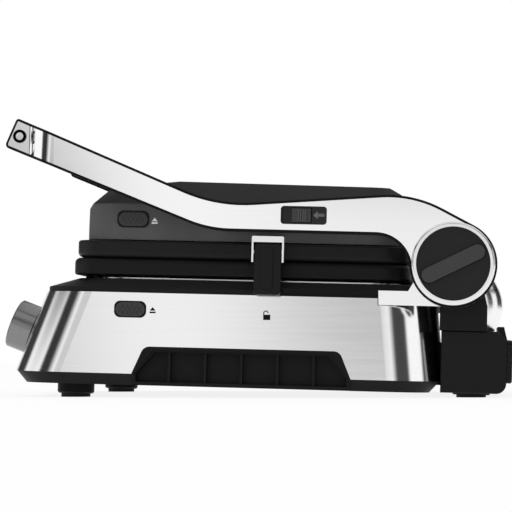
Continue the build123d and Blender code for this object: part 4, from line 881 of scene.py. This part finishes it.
# Levels that the studio's screens show, by turn from the camera side in degrees, near the camera's own
# height and above it
LOW_SCREENS = (
    (-180.0, 0.85), (-144.0, 0.85), (-134.0, 0.03), (-90.0, 0.03), (-84.0, 0.97), (-55.0, 0.97),
    (-49.0, 0.05), (-24.0, 0.05), (-14.0, 0.97), (-4.0, 0.92), (5.4, 0.93), (6.6, 1.0), (8.2, 1.0),
    (8.8, 0.62), (9.6, 0.24), (22.0, 0.24), (30.0, 0.95), (40.0, 0.03), (57.0, 0.03), (65.0, 1.0),
    (102.0, 1.0), (112.0, 0.04), (140.0, 0.04), (150.0, 0.85), (180.0, 0.85),
)
HIGH_SCREENS = (
    (-180.0, 0.85), (-144.0, 0.85), (-134.0, 0.03), (-90.0, 0.03), (-84.0, 0.97), (-55.0, 0.97),
    (-49.0, 0.05), (-24.0, 0.05), (-14.0, 0.9), (-6.0, 0.78), (-1.0, 0.46), (3.4, 0.46), (4.0, 0.62),
    (4.6, 0.78), (5.4, 0.94), (6.2, 1.0), (8.1, 1.0), (8.9, 0.82), (9.7, 0.62), (22.0, 0.6), (28.0, 0.95),
    (40.0, 0.03), (58.0, 0.03), (64.0, 1.0), (102.0, 1.0), (112.0, 0.04), (140.0, 0.04), (150.0, 0.85),
    (180.0, 0.85),
)
# Heights, as the upward part of a direction: where the high screens start, a dark rail, and the ceiling
SCREEN_SPLIT = (0.064, 0.076)
DARK_RAIL = ((0.0, 1.0), (0.34, 1.0), (0.38, 0.12), (0.47, 0.12), (0.52, 1.0), (1.0, 1.0))
CEILING_START = (0.55, 0.75)
CEILING_LEVEL = 0.8


def level_ramp(tree, value, span, levels):
    """Grey levels along a value, with each stop's place given on the value's own scale."""
    low, high = span
    node = tree.nodes.new("ShaderNodeValToRGB")
    ramp = node.color_ramp
    while len(ramp.elements) > 1:
        ramp.elements.remove(ramp.elements[-1])
    for index, (place, level) in enumerate(levels):
        share = (place - low) / (high - low)
        stop = ramp.elements[0] if index == 0 else ramp.elements.new(share)
        stop.position = share
        stop.color = grey(level)
    tree.links.new(mapped(tree, value, span), node.inputs["Fac"])
    return node.outputs["Color"]


def turn_and_height(tree):
    """A direction's turn from the camera side toward the front, in degrees, and its upward part."""
    parts = tree.nodes.new("ShaderNodeSeparateXYZ")
    tree.links.new(tree.nodes.new("ShaderNodeTexCoord").outputs["Generated"], parts.inputs["Vector"])
    forward = tree.nodes.new("ShaderNodeMath")
    forward.operation = "MULTIPLY"
    forward.inputs[1].default_value = -1.0
    tree.links.new(parts.outputs["Y"], forward.inputs[0])
    turn = tree.nodes.new("ShaderNodeMath")
    turn.operation = "ARCTAN2"
    tree.links.new(forward.outputs["Value"], turn.inputs[0])
    tree.links.new(parts.outputs["X"], turn.inputs[1])
    turn_degrees = tree.nodes.new("ShaderNodeMath")
    turn_degrees.operation = "DEGREES"
    tree.links.new(turn.outputs["Value"], turn_degrees.inputs[0])
    return turn_degrees.outputs["Value"], parts.outputs["Z"]


def studio_world(plain_light):
    """White behind the object, screens and a ceiling in its metal, and an even light for the rest."""
    world = bpy.data.worlds.new("studio screens")
    world.use_nodes = True
    tree = world.node_tree
    tree.nodes.clear()
    turn, height = turn_and_height(tree)
    low_screens, high_screens = (level_ramp(tree, turn, (-180.0, 180.0), levels)
                                 for levels in (LOW_SCREENS, HIGH_SCREENS))
    screens = mixed(tree, mapped(tree, height, SCREEN_SPLIT), low_screens, high_screens)
    railed = mixed(tree, 1.0, screens, level_ramp(tree, height, (0.0, 1.0), DARK_RAIL), "MULTIPLY")
    mirrored = mixed(tree, mapped(tree, height, CEILING_START), railed, grey(CEILING_LEVEL))
    paths = tree.nodes.new("ShaderNodeLightPath")
    lit = mixed(tree, paths.outputs["Is Glossy Ray"], grey(plain_light), mirrored)
    light = tree.nodes.new("ShaderNodeBackground")
    tree.links.new(mixed(tree, paths.outputs["Is Camera Ray"], lit, grey(1.0)), light.inputs["Color"])
    output = tree.nodes.new("ShaderNodeOutputWorld")
    tree.links.new(light.outputs["Background"], output.inputs["Surface"])
    return world


FLOOR_GLOW_SHARE = 0.86
FLOOR_LEVEL = 0.97


def floor_material():
    """Matt floor that also glows for the camera and in mirrors, so it shows white with a soft shadow."""
    material = bpy.data.materials.new("pale floor")
    material.use_nodes = True
    tree = material.node_tree
    tree.nodes.clear()
    matt = tree.nodes.new("ShaderNodeBsdfDiffuse")
    matt.inputs["Color"].default_value = grey(FLOOR_LEVEL)
    glow = tree.nodes.new("ShaderNodeEmission")
    paths = tree.nodes.new("ShaderNodeLightPath")
    share = tree.nodes.new("ShaderNodeMath")
    share.operation = "MULTIPLY"
    share.inputs[1].default_value = FLOOR_GLOW_SHARE
    seen = tree.nodes.new("ShaderNodeMath")
    seen.operation = "MAXIMUM"
    tree.links.new(paths.outputs["Is Camera Ray"], seen.inputs[0])
    tree.links.new(paths.outputs["Is Glossy Ray"], seen.inputs[1])
    tree.links.new(seen.outputs["Value"], share.inputs[0])
    mix = tree.nodes.new("ShaderNodeMixShader")
    tree.links.new(share.outputs["Value"], mix.inputs["Fac"])
    tree.links.new(matt.outputs["BSDF"], mix.inputs[1])
    tree.links.new(glow.outputs["Emission"], mix.inputs[2])
    output = tree.nodes.new("ShaderNodeOutputMaterial")
    tree.links.new(mix.outputs["Shader"], output.inputs["Surface"])
    return material


LAMP_SIZE = 1.6
LAMP_PLACE = (1.1, -0.9, 1.7)
SENSOR_WIDTH = 36.0
NEAREST_SEEN = 0.05
FURTHEST_SEEN = 50.0


class GRILL_OT_stage(bpy.types.Operator):
    """Sets the floor, the studio light and the camera"""

    bl_idname = "grill.stage"
    bl_label = "Stage"

    def execute(self, context):
        scene = context.scene
        stage = scene.grill_stage
        scene.view_settings.view_transform = "Standard"
        scene.world = studio_world(stage.plain_light)
        shape = bmesh.new()
        bmesh.ops.create_grid(shape, x_segments=1, y_segments=1, size=stage.floor_half_size)
        floor = mesh_piece("floor", shape, floor_material())
        lamp_data = bpy.data.lights.new("soft lamp", "AREA")
        lamp_data.shape = "SQUARE"
        lamp_data.size = LAMP_SIZE
        lamp_data.energy = stage.lamp_power
        lamp = bpy.data.objects.new("soft lamp", lamp_data)
        scene.collection.objects.link(lamp)
        lamp.location = LAMP_PLACE
        lamp.rotation_euler = (-lamp.location).to_track_quat("-Z", "Y").to_euler()
        lamp.visible_glossy = False
        camera_data = bpy.data.cameras.new("camera")
        camera_data.lens = stage.lens
        camera_data.sensor_width = SENSOR_WIDTH
        camera_data.clip_start = NEAREST_SEEN
        camera_data.clip_end = FURTHEST_SEEN
        camera = bpy.data.objects.new("camera", camera_data)
        scene.collection.objects.link(camera)
        ahead = Vector(stage.camera_aim).normalized()
        right = ahead.cross(Vector((0.0, 0.0, 1.0))).normalized()
        up = right.cross(ahead)
        turn = Matrix((right, up, -ahead)).transposed().to_4x4()
        camera.matrix_world = Matrix.Translation(Vector(stage.camera_place)) @ turn
        scene.camera = camera
        return {"FINISHED"}


OPERATORS = (
    GRILL_OT_plastic_pieces,
    GRILL_OT_steel_pieces,
    GRILL_OT_cooking_plates,
    GRILL_OT_front_controls,
    GRILL_OT_rubber_pieces,
    GRILL_OT_release_icons,
    GRILL_OT_padlock_icon,
    GRILL_OT_slot_arrow,
    GRILL_OT_slider_ridges,
    GRILL_OT_vent_rims,
    GRILL_OT_button_rims,
    GRILL_OT_grip_washers,
    GRILL_OT_underside_screws,
    GRILL_OT_stage,
)


class GRILL_PT_sidebar(bpy.types.Panel):
    """Lists the grill's finishes, details and studio"""

    bl_label = "Contact Grill"
    bl_idname = "GRILL_PT_sidebar"
    bl_space_type = "VIEW_3D"
    bl_region_type = "UI"
    bl_category = "Grill"

    def draw(self, context):
        for operator in OPERATORS:
            self.layout.operator(operator.bl_idname)
        for settings in (context.scene.grill_finish, context.scene.grill_print, context.scene.grill_stage):
            box = self.layout.box()
            for name in settings.__annotations__:
                box.prop(settings, name)


CLASSES = (GrillFinishSettings, GrillPrintSettings, GrillStageSettings, *OPERATORS, GRILL_PT_sidebar)


def register():
    for cls in CLASSES:
        bpy.utils.register_class(cls)
    bpy.types.Scene.grill_finish = bpy.props.PointerProperty(type=GrillFinishSettings)
    bpy.types.Scene.grill_print = bpy.props.PointerProperty(type=GrillPrintSettings)
    bpy.types.Scene.grill_stage = bpy.props.PointerProperty(type=GrillStageSettings)


def unregister():
    del bpy.types.Scene.grill_stage
    del bpy.types.Scene.grill_print
    del bpy.types.Scene.grill_finish
    for cls in reversed(CLASSES):
        bpy.utils.unregister_class(cls)


def main():
    register()
    bpy.ops.grill.plastic_pieces()
    bpy.ops.grill.steel_pieces()
    bpy.ops.grill.cooking_plates()
    bpy.ops.grill.front_controls()
    bpy.ops.grill.rubber_pieces()
    bpy.ops.grill.release_icons()
    bpy.ops.grill.padlock_icon()
    bpy.ops.grill.slot_arrow()
    bpy.ops.grill.slider_ridges()
    bpy.ops.grill.vent_rims()
    bpy.ops.grill.button_rims()
    bpy.ops.grill.grip_washers()
    bpy.ops.grill.underside_screws()
    bpy.ops.grill.stage()


if __name__ == "__main__":
    main()
